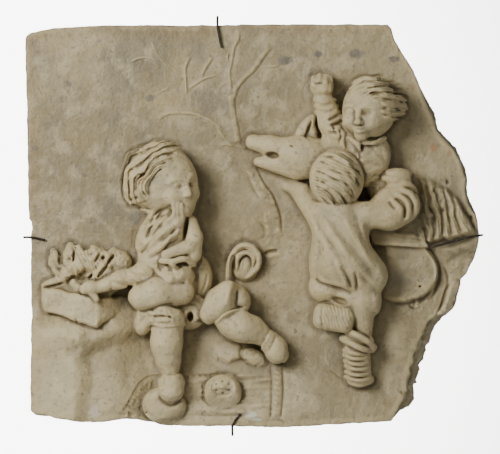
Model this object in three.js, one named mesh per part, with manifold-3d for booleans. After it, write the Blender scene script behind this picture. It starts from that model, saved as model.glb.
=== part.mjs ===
// Marble relief plaque: a winter scene carved in one broken slab. A child sits by a fire box at
// the left, a second child bends over a pig on a bench at the right, and a third rides behind it.
// Four wire clips hold the slab to the wall.
//
// Millimetres, +Z up, the carving faces -Y and the flat back of the slab is the plane y = 0.
// The carving is laid out on the face like a drawing: a place is [across, up, out], and out is
// the height in front of the slab's face. onWall() turns the finished drawing upright.

import * as THREE from 'three';
import { mergeVertices } from 'three/addons/utils/BufferGeometryUtils.js';
import Module from 'manifold-3d';

const wasm = await Module();
wasm.setup();

// ---------------------------------------------------------------- driving dimensions
const SLAB_THICKNESS = 24;
const SINK = 2; // how far each carved form is let into the slab
const BEHIND = 80; // farther back than any carved form
const LARGE_FORM = 16; // forms with a radius above this get more facets
const THICK_LIMB = 9; // and so do limbs with a radius above this
const EDGE_WEAR = 2.5; // rounding of the sound edges
const FRACTURE_INSET = 7; // slope of the broken lower right edge
const WIRE_RADIUS = 0.9;
const CLIP_GAP = 0.35;

const MARBLE = new THREE.MeshStandardMaterial({ name: 'marble', color: 0xa89f90, roughness: 0.6 });
const WIRE = new THREE.MeshStandardMaterial({
  name: 'wire',
  color: 0x2b2622,
  roughness: 0.45,
  metalness: 0.8,
});

// ---------------------------------------------------------------- solids
function solidOf(geometry) {
  const bare = new THREE.BufferGeometry();
  bare.setAttribute('position', geometry.getAttribute('position'));
  if (geometry.index) bare.setIndex(geometry.index);
  const merged = mergeVertices(bare, 1e-4);
  const mesh = new wasm.Mesh({
    numProp: 3,
    vertProperties: new Float32Array(merged.getAttribute('position').array),
    triVerts: new Uint32Array(merged.index.array),
  });
  return new wasm.Manifold(mesh);
}

function geometryOf(solid) {
  const mesh = solid.getMesh();
  const geometry = new THREE.BufferGeometry();
  geometry.setAttribute('position', new THREE.BufferAttribute(new Float32Array(mesh.vertProperties), 3));
  geometry.setIndex(new THREE.BufferAttribute(new Uint32Array(mesh.triVerts), 1));
  return geometry;
}

function joined(solids) {
  return solids.reduce((whole, solid) => whole.add(solid));
}

// Joining can enclose small air pockets between forms. The stone there is solid, so only the
// largest closed skin is kept.
function withoutPockets(geometry) {
  const index = geometry.index.array;
  const skinOf = Array.from({ length: geometry.getAttribute('position').count }, (_, i) => i);
  const root = (vertex) => {
    let top = vertex;
    while (skinOf[top] !== top) top = skinOf[top];
    skinOf[vertex] = top;
    return top;
  };
  for (let i = 0; i < index.length; i += 3) {
    skinOf[root(index[i])] = root(index[i + 1]);
    skinOf[root(index[i + 1])] = root(index[i + 2]);
  }
  const faces = new Map();
  for (let i = 0; i < index.length; i += 3) {
    const skin = root(index[i]);
    if (!faces.has(skin)) faces.set(skin, []);
    faces.get(skin).push(index[i], index[i + 1], index[i + 2]);
  }
  const [outer] = [...faces.values()].sort((a, b) => b.length - a.length);
  geometry.setIndex(outer);
  return geometry;
}

function moveVertices(geometry, move) {
  const position = geometry.getAttribute('position');
  const point = new THREE.Vector3();
  for (let i = 0; i < position.count; i += 1) {
    point.fromBufferAttribute(position, i);
    move(point);
    position.setXYZ(i, point.x, point.y, point.z);
  }
  return geometry;
}

// An egg: a round form with upright sides below its middle, as carved stone has. Radii are
// across, up and out, and turn is its anticlockwise lean on the face in degrees.
function egg([x, y, out], [rx, ry, rOut], turn = 0) {
  const size = Math.max(rx, ry);
  const around = size > LARGE_FORM ? 12 : 8;
  const rings = size > LARGE_FORM ? 3 : 2;
  const foot = Math.min(-SINK - out, -SINK);
  const profile = [new THREE.Vector2(0, foot), new THREE.Vector2(1, foot)];
  for (let i = 0; i < rings; i += 1) {
    const angle = (i / rings) * (Math.PI / 2);
    profile.push(new THREE.Vector2(Math.cos(angle), rOut * Math.sin(angle)));
  }
  profile.push(new THREE.Vector2(0, rOut));
  const geometry = new THREE.LatheGeometry(profile, around);
  geometry.rotateX(Math.PI / 2);
  geometry.scale(rx, ry, 1);
  geometry.rotateZ(THREE.MathUtils.degToRad(turn));
  geometry.translate(x, y, out);
  return solidOf(geometry);
}

// A limb: a round bar with ball ends, from one place to another. What lies behind its middle
// is drawn back into the slab with upright sides. The sides are a multiple of four.
function limb(from, fromRadius, to, toRadius, sides = 8) {
  const start = new THREE.Vector3(...from);
  const along = new THREE.Vector3(...to).sub(start);
  const length = along.length();
  const lean = Math.asin(THREE.MathUtils.clamp((fromRadius - toRadius) / length, -0.9, 0.9));
  const arc = Math.max(fromRadius, toRadius) > THICK_LIMB ? 2 : 1;
  const profile = [];
  for (let i = 0; i <= arc; i += 1) {
    const angle = -Math.PI / 2 + ((lean + Math.PI / 2) * i) / arc;
    profile.push(new THREE.Vector2(fromRadius * Math.cos(angle), fromRadius * Math.sin(angle)));
  }
  for (let i = 0; i <= arc; i += 1) {
    const angle = lean + ((Math.PI / 2 - lean) * i) / arc;
    profile.push(new THREE.Vector2(toRadius * Math.cos(angle), length + toRadius * Math.sin(angle)));
  }
  profile[0].x = 0;
  profile[profile.length - 1].x = 0;
  const geometry = new THREE.LatheGeometry(profile, sides);
  moveVertices(geometry, (point) => {
    const radius = Math.hypot(point.x, point.z);
    if (point.z > -0.01) return;
    if (Math.abs(point.x) > 0.5 * radius) point.x = Math.sign(point.x) * radius;
    point.z = -BEHIND;
  });
  const axis = along.clone().normalize();
  const side = axis.clone().cross(new THREE.Vector3(0, 0, 1)).normalize();
  geometry.applyMatrix4(new THREE.Matrix4().makeBasis(side, axis, side.clone().cross(axis)));
  geometry.translate(...from);
  return solidOf(moveVertices(geometry, (point) => {
    if (point.z < -SINK) point.z = -SINK;
  }));
}

function chain(places, radii, sides) {
  const parts = [];
  for (let i = 0; i + 1 < places.length; i += 1) {
    const startRadius = i > 0 ? 0.98 * radii[i] : radii[i]; // lies within the bar before it
    parts.push(limb(places[i], startRadius, places[i + 1], radii[i + 1], sides));
  }
  return joined(parts);
}

// A ridge: a thin bar along a smooth curve, for branches, folds, locks and wire.
function ridge(places, radius, sides = 4, stepsPerPlace = 1) {
  const curve = new THREE.CatmullRomCurve3(places.map((place) => new THREE.Vector3(...place)));
  const section = new THREE.Shape();
  for (let i = 0; i < sides; i += 1) {
    const angle = (i / sides) * 2 * Math.PI;
    const corner = [radius * Math.cos(angle), radius * Math.sin(angle)];
    if (i === 0) section.moveTo(...corner);
    else section.lineTo(...corner);
  }
  section.closePath();
  const steps = stepsPerPlace * (places.length - 1);
  return solidOf(new THREE.ExtrudeGeometry(section, { steps, bevelEnabled: false, extrudePath: curve }));
}

function shapeOf(points) {
  return new THREE.Shape(points.map(([x, y]) => new THREE.Vector2(x, y)));
}

// A flat block on the face, with the given outline and height.
function block(points, height, below = SINK) {
  const geometry = new THREE.ExtrudeGeometry(shapeOf(points), {
    depth: height + below,
    bevelEnabled: false,
  });
  geometry.translate(0, 0, -below);
  return geometry;
}

// ---------------------------------------------------------------- the slab
const TOP_EDGE = [
  [-159, 133.5], [-156, 136], [-140, 139.5], [-110, 141], [-30, 141.5], [30, 142], [95, 142.2],
];
const RIGHT_BREAK = [
  [98, 139], [100, 132], [103, 125], [111, 113.5], [118, 99], [129, 79.5], [132, 68.5],
  [139, 60.5], [144, 55.5], [148.5, 46], [152, 35], [152.7, 24], [154, 18], [158, 9], [159, -8],
  [156.5, -22], [153.5, -26.5], [151, -33.5], [147, -37], [143.5, -52], [141, -58.5],
  [135.5, -65], [128, -77], [122, -90], [118.5, -102], [115, -122], [112, -127], [106, -132],
];
const BOTTOM_EDGE = [
  [97, -136.5], [70, -138], [25, -140.5], [-30, -139.8], [-65, -139], [-80, -135.2],
  [-88, -134.5], [-103, -136.8], [-118, -136.8], [-145, -133], [-152, -131.5],
];
const LEFT_EDGE = [
  [-155.5, -128], [-155, -80], [-155.5, -25], [-155.3, 3], [-157, 5], [-158, 60], [-159.5, 125],
];
const OUTLINE = [...TOP_EDGE, ...RIGHT_BREAK, ...BOTTOM_EDGE, ...LEFT_EDGE];

// How far the face stops short of the outline: little at the sound edges, more at the fracture.
function edgeInset(x, y) {
  const lowerRight = x > 100 && y < -60;
  const upperRight = x > 96 && y > -60;
  if (lowerRight) return FRACTURE_INSET;
  return upperRight ? 1.6 * EDGE_WEAR : EDGE_WEAR;
}

function inwardNormals(points) {
  return points.map((point, i) => {
    const before = points[(i + points.length - 1) % points.length];
    const after = points[(i + 1) % points.length];
    const [dx, dy] = [after[0] - before[0], after[1] - before[1]];
    const length = Math.hypot(dx, dy);
    return [dy / length, -dx / length];
  });
}

function faceOutline(share = 1) {
  const normals = inwardNormals(OUTLINE);
  return OUTLINE.map(([x, y], i) => {
    const inset = share * edgeInset(x, y);
    return [x + inset * normals[i][0], y + inset * normals[i][1]];
  });
}

function slab() {
  const geometry = new THREE.ExtrudeGeometry(shapeOf(OUTLINE), {
    depth: SLAB_THICKNESS,
    steps: 2,
    bevelEnabled: false,
  });
  geometry.translate(0, 0, -SLAB_THICKNESS);
  const face = faceOutline();
  const key = (x, y) => `${x.toFixed(2)} ${y.toFixed(2)}`;
  const insetOf = new Map(OUTLINE.map(([x, y], i) => [key(x, y), face[i]]));
  return solidOf(
    moveVertices(geometry, (point) => {
      const onBack = point.z < -SLAB_THICKNESS + 0.01;
      if (onBack) return;
      const onFace = point.z > -0.01;
      const [x, y] = insetOf.get(key(point.x, point.y));
      if (onFace) [point.x, point.y] = [x, y];
      else point.z = -EDGE_WEAR;
    }),
  );
}

// ---------------------------------------------------------------- ground, rocks, mat and drum
function ground() {
  const swell = egg([-10, -132, -8], [160, 46, 17]);
  const leftRock = egg([-142, -104, -2], [30, 34, 9], 8);
  const slope = egg([-96, -70, 2], [24, 20, 8], -20);
  const rightRock = egg([112, -40, -3], [34, 26, 10], 15);
  const lowRock = egg([96, -92, -6], [26, 42, 13]);
  const stones = [
    egg([-34, -80, 5], [8, 7, 6], 30),
    egg([-20, -87, 5], [10, 6.5, 6], -10),
    egg([1.5, -91.5, 6], [9.5, 6, 7], -25),
  ];
  return joined([swell, leftRock, slope, rightRock, lowRock, ...stones]);
}

const MAT_OUTLINE = [
  [-95, -131], [-90, -122], [-81, -109], [-74, -105], [-62, -104], [20, -98], [19, -133], [-60, -135],
];

function mat() {
  const sheet = solidOf(block(MAT_OUTLINE, 9.5));
  const rows = [];
  for (let y = -109; y > -131; y -= 7) {
    rows.push(ridge([[-44, y, 8.6], [-20, y + 0.6, 9.2], [11, y + 0.2, 8.6]], 1.7));
  }
  const border = ridge([[16.5, -99, 9], [17.5, -115, 9.5], [16, -132, 9]], 3);
  const leftBorder = ridge([[-64, -105, 8.5], [-76, -108, 8.5], [-84, -118, 8.5], [-92, -131, 8]], 2.6);
  return joined([sheet, ...rows, border, leftBorder]);
}

function drum() {
  const profile = [
    [0, -13], [10.5, -13], [12.8, 0], [11.6, 10], [8.8, 11.8], [8, 10.4], [3.4, 10.4], [2.4, 12],
    [0, 12],
  ].map(([radius, along]) => new THREE.Vector2(radius, along));
  const geometry = new THREE.LatheGeometry(profile, 14);
  geometry.rotateX(THREE.MathUtils.degToRad(42));
  geometry.translate(-20.3, -118.5, 11);
  return solidOf(geometry);
}

// ---------------------------------------------------------------- trees in low relief
const BRANCHES = [
  { radius: 4.5, places: [[-12, 90], [-13, 74], [-8, 54]] },
  { radius: 3, places: [[-13, 88], [-16, 102], [-15.5, 120], [-12, 136]] },
  { radius: 2.2, places: [[-12, 88], [-9, 98], [-2, 107], [8, 111], [20, 113]] },
  { radius: 1.8, places: [[2, 111], [8, 119], [13, 127]] },
  { radius: 2.2, places: [[-71, 130], [-62, 115], [-49, 103], [-46, 91]] },
  { radius: 2, places: [[-86, 118], [-74, 117], [-62, 111], [-51, 103]] },
  { radius: 2, places: [[-42.5, 119], [-46, 107], [-46, 92], [-38, 82], [-31, 75]] },
  { radius: 3, places: [[-68, 76], [-52, 80], [-33, 77], [-12, 60]] },
  { radius: 5, places: [[-1, 40], [8, 26], [13, 10], [15, -6]] },
];

function trees() {
  const shown = 0.35; // share of each branch's radius that its axis lies behind the face
  return joined(
    BRANCHES.map(({ radius, places }) => {
      const sunk = places.map(([x, y]) => [x, y, -shown * radius]);
      return ridge(sunk, radius);
    }),
  );
}

// ---------------------------------------------------------------- fire box
const BOX = { left: -147, corner: -108, right: -88, topLeft: -41, topCorner: -51, height: 20 };

function fireBox() {
  const plan = shapeOf([
    [BOX.left, 0], [BOX.left, 13], [BOX.corner, 21], [BOX.right, 6], [BOX.right, 0],
  ]);
  const geometry = new THREE.ExtrudeGeometry(plan, { depth: BOX.height, bevelEnabled: false });
  const slope = (BOX.topCorner - BOX.topLeft) / (BOX.corner - BOX.left);
  moveVertices(geometry, (point) => {
    const [across, out, down] = [point.x, point.y, point.z];
    const top = across <= BOX.corner
      ? BOX.topLeft + slope * (across - BOX.left)
      : BOX.topCorner - slope * (across - BOX.corner);
    point.set(across, top - down, out < 0.01 ? -SINK : out);
  });
  return solidOf(geometry);
}

// Each flame is an egg leaning on the face: place, radii and turn.
const FLAMES = [
  [[-140, -27, 6], [4.2, 11, 7], 4],
  [[-126, -22, 9], [4.5, 12, 9], -22],
  [[-112, -21, 11], [6.5, 10, 9], 30],
  [[-103, -26, 10], [3.5, 13, 9], -38],
  [[-133, -37, 8], [9, 5, 8], -15],
  [[-118, -35, 12], [4.5, 11, 8], -58],
  [[-93, -25, 10], [8.5, 8, 9], 0],
];

function flames() {
  return joined(FLAMES.map(([place, radii, turn]) => egg(place, radii, turn)));
}

// ---------------------------------------------------------------- heads and hair
// Each head is an egg with its place and radii. Its locks are paths across and up the face of the
// slab, and lie half sunk in the head.
const SEATED_HEAD = {
  place: [-64, 32, 22],
  radii: [25, 25, 20],
  lockRadius: 3.6,
  locks: [
    [[-52, 54.5], [-63, 56], [-75, 51.5], [-82, 45]],
    [[-55, 49.5], [-66, 48], [-75, 41], [-79, 33]],
    [[-86, 41], [-88, 32], [-85, 22], [-77, 16]],
    [[-63, 42], [-71, 36], [-76, 27], [-72, 18]],
  ],
};
const RIDER_HEAD = {
  place: [82, 83, 23],
  radii: [18, 21, 18],
  lockRadius: 3,
  locks: [
    [[69, 96], [76, 101.5], [85, 101], [93, 97]],
    [[70, 91], [78, 95], [87, 94], [95, 90]],
    [[84, 87], [91, 88.5], [97, 85]],
  ],
};
const FRONT_HEAD = {
  place: [58.5, 33, 26],
  radii: [19, 20.8, 19.5],
  lockRadius: 2.6,
  locks: [
    [[44, 42], [54, 47], [64, 46], [72, 38]],
    [[42, 34], [53, 40], [64, 38], [72, 29]],
    [[43, 26], [53, 32], [63, 30], [69, 21]],
    [[47, 20], [54, 24], [61, 22], [64, 16]],
  ],
};

function headOf({ place, radii, locks, lockRadius }) {
  const onHead = ([x, y]) => {
    const inside = 1 - ((x - place[0]) / radii[0]) ** 2 - ((y - place[1]) / radii[1]) ** 2;
    return [x, y, place[2] + radii[2] * Math.sqrt(Math.max(inside, 0)) - 0.4 * lockRadius];
  };
  const strands = locks.map((path) => ridge(path.map(onHead), lockRadius));
  return joined([egg(place, radii), ...strands]);
}

// ---------------------------------------------------------------- seated child by the fire
function seatedChildHead() {
  const cheeks = egg([-52, 25, 24], [13.5, 19, 15], 14);
  const brow = limb([-57, 33, 34], 3, [-46, 33, 33], 2.6);
  const nose = limb([-48.5, 31, 36], 2, [-45.5, 21, 38.5], 2.6);
  const chin = egg([-47, 10, 25], [8, 6.5, 9.5]);
  return joined([headOf(SEATED_HEAD), cheeks, brow, nose, chin]);
}

function seatedChildBody() {
  const chest = egg([-62, -13, 17], [19.5, 25, 17], -6);
  const shawl = egg([-60, 0, 24], [13, 12, 13], -20);
  const hand = egg([-50.5, 10, 34], [4, 9, 6]);
  const upperArm = chain([[-43, 2, 24], [-41, -12, 27], [-44, -22, 26]], [5.5, 6, 6], 8);
  const foreArm = limb([-45, -15, 32], 5, [-61, -19, 35], 3.4, 8);
  const hip = egg([-38, -36, 9], [10, 16, 10]);
  const hem = egg([-55, -36, 23], [14, 10, 14]);
  const armToFire = chain([[-72, -34, 24], [-92, -37, 24], [-107, -42, 21]], [8, 6.5, 4.5], 8);
  const fist = egg([-116, -41.3, 21], [8, 5, 6], 5);
  const folds = [
    ridge([[-66, -8, 32], [-58, -4, 36], [-50, 4, 36]], 2.2),
    ridge([[-72, 4, 26], [-79, -8, 22], [-80, -24, 18]], 2.6),
  ];
  const parts = [chest, shawl, hand, upperArm, foreArm, hip, hem, armToFire, fist];
  return joined([...parts, ...folds]);
}

function seatedChildLegs() {
  const thigh = chain([[-50, -45, 25], [-68, -46, 30], [-78, -48.5, 31]], [10, 11.5, 10.5]);
  const cuff = egg([-63, -61, 24], [17, 8.5, 14], -4);
  const shin = limb([-61, -66, 25], 11, [-57, -97, 22], 7);
  const boot = egg([-56, -112, 22], [8.5, 12, 12]);
  const clog = egg([-60, -124.5, 13], [15.5, 12, 13]);
  const knee = egg([-21, -52, 24], [13, 15, 14], -18);
  const sideFold = egg([-8, -49, 18], [6.5, 9, 10], 10);
  const calf = egg([-8, -69, 22], [18, 11, 13], 12);
  const turnUp = limb([6, -73, 21], 9, [12, -79, 21], 8.5);
  const shoe = egg([17, -86.5, 17], [8.5, 10.5, 11]);
  return joined([thigh, cuff, shin, boot, clog, knee, sideFold, calf, turnUp, shoe]);
}

// Curled cloth of the lap between the knees and the tree.
function curledCloth() {
  const curl = [[-16, -34, 5], [-14, -20, 7], [-5, -14, 8], [3, -20, 8], [3, -30, 7], [-6, -36, 6]];
  const inner = [[-9, -33, 6], [-8, -24, 7], [-2, -22, 8], [-1, -29, 8]];
  return joined([ridge(curl, 3), ridge(inner, 2.6), egg([-4, -28, 2], [8, 10, 6])]);
}

// ---------------------------------------------------------------- pig
function pig() {
  const snout = chain([[0.5, 59, 8], [13, 56, 10], [30, 51, 10]], [5.4, 7.2, 11.5]);
  const cheek = egg([38, 47, 9], [18, 15, 13]);
  const jaw = limb([5, 45.5, 8], 4, [30, 41, 9], 8.5, 8);
  const ear = egg([36, 68, 10], [4.5, 10.5, 5], -28);
  const head = joined([snout, cheek, jaw, ear]);
  return head.subtract(drill([13.5, 49.5, 20], [5, 2.6, 9]));
}

// The drill holes of the carving are made with a plain ball.
function drill([x, y, out], [rx, ry, rOut]) {
  const geometry = new THREE.SphereGeometry(1, 8, 6);
  geometry.scale(rx, ry, rOut);
  geometry.translate(x, y, out);
  return solidOf(geometry);
}

// ---------------------------------------------------------------- rider behind the pig
function rider() {
  const fist = egg([48.5, 98.5, 14], [8.8, 8.5, 10]);
  const sleeve = limb([49, 89, 13], 6.5, [56, 69, 15], 10);
  const sleeveFolds = [85, 78].map((y, i) => {
    const left = 43.5 + 1.2 * i;
    return ridge([[left, y, 12], [left + 6, y - 1.2, 21.5], [left + 13, y + 1, 13]], 1.8);
  });
  const chest = egg([74, 50, 14], [21, 23, 15], 8);
  const collar = egg([78, 61, 18], [14, 5, 14]);
  const cheeks = egg([77, 78, 26], [13, 17, 14]);
  const brow = limb([68, 84.5, 36], 2.4, [80, 84.5, 37.5], 2.4);
  const nose = limb([74, 83, 38.5], 1.8, [72.8, 76, 41], 2.5);
  const chin = egg([75, 65.5, 26], [6, 5, 9]);
  const sideHair = egg([98, 84, 11], [9.5, 8.5, 9]);
  const face = [headOf(RIDER_HEAD), cheeks, brow, nose, chin, sideHair];
  return joined([fist, sleeve, ...sleeveFolds, chest, collar, ...face]);
}

// ---------------------------------------------------------------- child in front, seen from behind
function frontChildHead() {
  return joined([headOf(FRONT_HEAD), egg([58, 14, 24], [13, 11, 13])]);
}

const COAT_FOLDS = [
  [[48, 10], [60, -8], [75, -24], [90, -40]],
  [[60, 6], [72, -12], [85, -28], [92, -38]],
  [[70, 5], [76, -8], [82, -20]],
  [[44, -24], [50, -34], [58, -41]],
];

function frontChildCoat() {
  const back = { place: [62, -8, 24], radii: [21, 27, 19] };
  const skirt = { place: [68, -30, 23], radii: [25, 18, 16] };
  const height = (form, x, y) => {
    const [px, py, out] = form.place;
    const [rx, ry, rOut] = form.radii;
    return out + rOut * Math.sqrt(Math.max(1 - ((x - px) / rx) ** 2 - ((y - py) / ry) ** 2, 0));
  };
  const folds = COAT_FOLDS.map((fold) => {
    const places = fold.map(([x, y]) => [x, y, Math.max(height(back, x, y), height(skirt, x, y)) - 0.6]);
    return ridge(places, 2.3);
  });
  const leftSide = egg([52, -30, 18], [13, 19, 14], 12);
  return joined([egg(back.place, back.radii), egg(skirt.place, skirt.radii, -12), leftSide, ...folds]);
}

function frontChildArms() {
  const leftArm = limb([33, 25, 15], 4.5, [51, 8, 25], 9.5);
  const shoulder = limb([80, 6, 25], 9, [100, 8, 23], 10.5);
  const sleeve = egg([100, 13, 20], [16, 14.5, 13], 20);
  const foreArm = limb([105, 14, 22], 10, [101, 33, 20], 8.5);
  const wrist = egg([100, 37, 18], [9.5, 4.5, 9]);
  const wool = egg([88, 29, 13], [10, 11, 11]);
  const folds = [11, 17].map((radius) => {
    const places = [75, 35, -5, -45].map((degrees) => {
      const angle = THREE.MathUtils.degToRad(degrees);
      return [95 + radius * Math.cos(angle), 16 + radius * Math.sin(angle), 33.5 - 0.02 * radius * radius];
    });
    return ridge(places, 2);
  });
  return joined([leftArm, shoulder, sleeve, foreArm, wrist, wool, ...folds]);
}

function frontChildLegs() {
  const heelLeg = limb([70, -48, 20], 10, [60, -60, 22], 9);
  const bentBoot = egg([56, -63, 23], [14, 10, 13], -4);
  const thigh = limb([75, -48, 20], 12, [74, -72, 20], 10);
  const cuff = egg([74, -80, 18], [12.5, 5, 12]);
  const rings = [-87, -93, -99, -105].map((y) => egg([73, y, 14], [9.8, 3.8, 11]));
  const heel = egg([74.5, -108, 11], [10, 4, 10]);
  return joined([heelLeg, bentBoot, thigh, cuff, ...rings, heel]);
}

// ---------------------------------------------------------------- fur, bench and broken corner
const FUR_TOP = [[95, 40], [110, 40], [125, 33], [135, 28], [145, 18], [151, 8]];

function furTopAt(x) {
  const last = FUR_TOP.length - 1;
  const i = FUR_TOP.findIndex(([fx], k) => k < last && x >= fx && x <= FUR_TOP[k + 1][0]);
  const [[x0, y0], [x1, y1]] = [FUR_TOP[i], FUR_TOP[i + 1]];
  return y0 + ((x - x0) / (x1 - x0)) * (y1 - y0);
}

function fur() {
  const pelt = [[96, 37], [112, 38], [125, 31], [135, 25], [145, 15], [150, 7], [154, -6], [96, -6]];
  const strands = [];
  for (let x = 100; x < 150; x += 8) {
    const top = furTopAt(x);
    const lean = 3 + 0.06 * (x - 98);
    const places = [[x, top, 3], [x + 0.6 * lean, 0.5 * top, 7], [x + lean, -7, 6]];
    strands.push(ridge(places, 3.2));
  }
  return joined([solidOf(block(pelt, 5)), ...strands]);
}

function bench() {
  const plank = [[82, -3], [118, -4.5], [157, -2], [157, -14], [118, -14], [84, -13.5]];
  return solidOf(block(plank, 10));
}

// ---------------------------------------------------------------- wire clips
// Each wire starts at the wall beside the slab, stands a little way off its edge, turns over it
// and lies on the face. Over is how high the carving is under the wire.
const CLIPS = {
  clip_top: { edge: [-24.5, 141.7], away: [0, 1], off: 5.2, tip: [-21.5, 125], over: 0.6 },
  clip_left: { edge: [-155.7, -7.5], away: [-1, 0], off: 4.4, tip: [-145, -9.5], over: 0.6 },
  clip_right: { edge: [159, -6], away: [1, 0], off: 1.6, tip: [124.5, -14.5], over: 10.5 },
  clip_bottom: { edge: [-14, -140.2], away: [0, -1], off: 5.4, tip: [-8.5, -130.5], over: 11.5 },
};

function clip({ edge, away, off, tip, over }) {
  const lift = over + WIRE_RADIUS + CLIP_GAP;
  const beside = (distance, out) => [edge[0] + distance * away[0], edge[1] + distance * away[1], out];
  const places = [
    beside(off, -SLAB_THICKNESS),
    beside(off, -SLAB_THICKNESS / 2),
    beside(off, lift - 4),
    beside(0.8 * off, lift - 0.6),
    beside(-1.5, lift),
    [...tip, lift],
  ];
  return ridge(places, WIRE_RADIUS, 5, 2);
}

// ---------------------------------------------------------------- assembly
function onWall(solid) {
  const geometry = withoutPockets(mergeVertices(geometryOf(solid), 1e-3));
  geometry.translate(0, 0, SLAB_THICKNESS);
  geometry.rotateX(Math.PI / 2);
  return geometry;
}

function reliefSlab() {
  const carving = joined([
    ground(), mat(), drum(), trees(), fireBox(), flames(),
    seatedChildHead(), seatedChildBody(), seatedChildLegs(), curledCloth(),
    pig(), rider(), frontChildHead(), frontChildCoat(), frontChildArms(), frontChildLegs(),
    fur(), bench(),
  ]);
  const reach = 60;
  const stencil = solidOf(block(faceOutline(1.02), reach, SLAB_THICKNESS / 2));
  return slab().add(carving.intersect(stencil));
}

function mesh(name, solid, material) {
  const piece = new THREE.Mesh(onWall(solid), material);
  piece.name = name;
  return piece;
}

const plaque = new THREE.Group();
plaque.add(mesh('relief_slab', reliefSlab(), MARBLE));
Object.entries(CLIPS).forEach(([name, wire]) => plaque.add(mesh(name, clip(wire), WIRE)));

export default plaque;
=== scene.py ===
"""A broken marble relief held to a wall by four wire clips.

The carving is worked out as a signed distance field in millimetres, in the board's own
directions [across, up, out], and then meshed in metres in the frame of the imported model.
"""
import math

import bpy
import numpy as np
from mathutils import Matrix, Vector


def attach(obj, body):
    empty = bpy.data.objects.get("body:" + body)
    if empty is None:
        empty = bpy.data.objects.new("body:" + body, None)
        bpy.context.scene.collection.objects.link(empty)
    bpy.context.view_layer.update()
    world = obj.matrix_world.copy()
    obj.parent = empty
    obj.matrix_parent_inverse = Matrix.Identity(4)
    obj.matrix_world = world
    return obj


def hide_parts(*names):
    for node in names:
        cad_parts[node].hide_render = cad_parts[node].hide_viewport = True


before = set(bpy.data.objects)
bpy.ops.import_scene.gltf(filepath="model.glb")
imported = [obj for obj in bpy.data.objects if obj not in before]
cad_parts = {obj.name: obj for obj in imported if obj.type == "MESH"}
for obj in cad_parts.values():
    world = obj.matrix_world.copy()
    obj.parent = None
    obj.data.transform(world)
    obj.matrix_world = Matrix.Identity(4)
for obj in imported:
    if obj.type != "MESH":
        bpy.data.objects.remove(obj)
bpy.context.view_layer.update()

MM = 0.001  # metres in one millimetre
VOXEL = 0.6  # mm between two places of the field
THICK = 24.0  # mm from the slab's flat back to its plain ground, where out is 0
FIELD_ACROSS = (-163.2, 163.3)  # mm, the box that the field is worked out in
FIELD_UP = (-144.0, 145.7)
FIELD_OUT = 50.0
MOST_TRIANGLES = 190_000
TINY = 1e-9  # keeps a division by a length of nought away
BACK_SLOPE = 0.22  # how little a limb narrows behind its middle, so that it meets the ground


# ------------------------------------------------------------------ helpers
def smooth_curve(points, step=1.0):
    """Catmull-Rom samples through the points, about step mm apart."""
    p = np.asarray(points, float)
    if len(p) == 2:
        n = max(2, int(np.linalg.norm(p[1] - p[0]) / step) + 1)
        return p[0] + (p[1] - p[0]) * np.linspace(0, 1, n)[:, None]
    ends = np.vstack([2 * p[0] - p[1], p, 2 * p[-1] - p[-2]])
    out = []
    for i in range(len(p) - 1):
        a, b, c, d = ends[i:i + 4]
        n = max(2, int(np.linalg.norm(c - b) / step) + 1)
        t = np.linspace(0, 1, n, endpoint=False)[:, None]
        out.append(0.5 * ((2 * b) + (c - a) * t + (2 * a - 5 * b + 4 * c - d) * t ** 2
                          + (3 * b - a - 3 * c + d) * t ** 3))
    out.append(p[-1:])
    return np.vstack(out)


def turned(turn=0.0, nod=0.0, yaw=0.0):
    """Rotation: turn anticlockwise on the face, nod (top towards the viewer), yaw (to the right)."""
    t, n, y = (math.radians(v) for v in (turn, nod, yaw))
    rt = np.array([[math.cos(t), -math.sin(t), 0], [math.sin(t), math.cos(t), 0], [0, 0, 1]])
    rn = np.array([[1, 0, 0], [0, math.cos(n), -math.sin(n)], [0, math.sin(n), math.cos(n)]])
    ry = np.array([[math.cos(y), 0, math.sin(y)], [0, 1, 0], [-math.sin(y), 0, math.cos(y)]])
    return rt @ rn @ ry


def own_axes(rot, p):
    """The offset p in the directions of a turned form."""
    return [rot[0, i] * p[0] + rot[1, i] * p[1] + rot[2, i] * p[2] for i in range(3)]


def soft_min(a, b, k):
    """The lesser of two distances, blended where they differ by less than k."""
    if k <= 0:
        return np.minimum(a, b)
    w = np.clip(0.5 + 0.5 * (b - a) / k, 0, 1)
    return b + (a - b) * w - k * w * (1 - w)


def soft_max(a, b, k):
    return -soft_min(-a, -b, k)


def smoothstep(a, b, v):
    t = np.clip((v - a) / (b - a), 0, 1)
    return t * t * (3 - 2 * t)


class Noise:
    """Smooth seeded noise on the face, in mm."""
    CELLS = 256  # the table repeats after so many cells
    START = (97.3, 41.7)  # cells, keeps the middle of the slab off the table's corner
    SHIFT = (31.7, -17.3)  # mm, sets each finer octave apart from the one before

    def __init__(self, seed):
        self.table = np.random.default_rng(seed).uniform(-1, 1, (self.CELLS, self.CELLS))

    def __call__(self, x, z, size, stretch=1.0, lean=0.0):
        c, s = math.cos(math.radians(lean)), math.sin(math.radians(lean))
        u = (x * c + z * s) / (size * stretch) + self.START[0]
        v = (-x * s + z * c) / size + self.START[1]
        i, j = np.floor(u).astype(int), np.floor(v).astype(int)
        fu, fv = u - i, v - j
        fu = fu * fu * (3 - 2 * fu)
        fv = fv * fv * (3 - 2 * fv)
        t = self.table

        def at(a, b):
            return t[a % self.CELLS, b % self.CELLS]

        return ((at(i, j) * (1 - fu) + at(i + 1, j) * fu) * (1 - fv)
                + (at(i, j + 1) * (1 - fu) + at(i + 1, j + 1) * fu) * fv)

    def rough(self, x, z, size, octaves=3, **kw):
        total, amp = 0, 1.0
        for k in range(octaves):
            across, up = (shift * k for shift in self.SHIFT)
            total = total + amp * self(x + across, z + up, size / 2 ** k, **kw)
            amp *= 0.5
        return total


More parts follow.
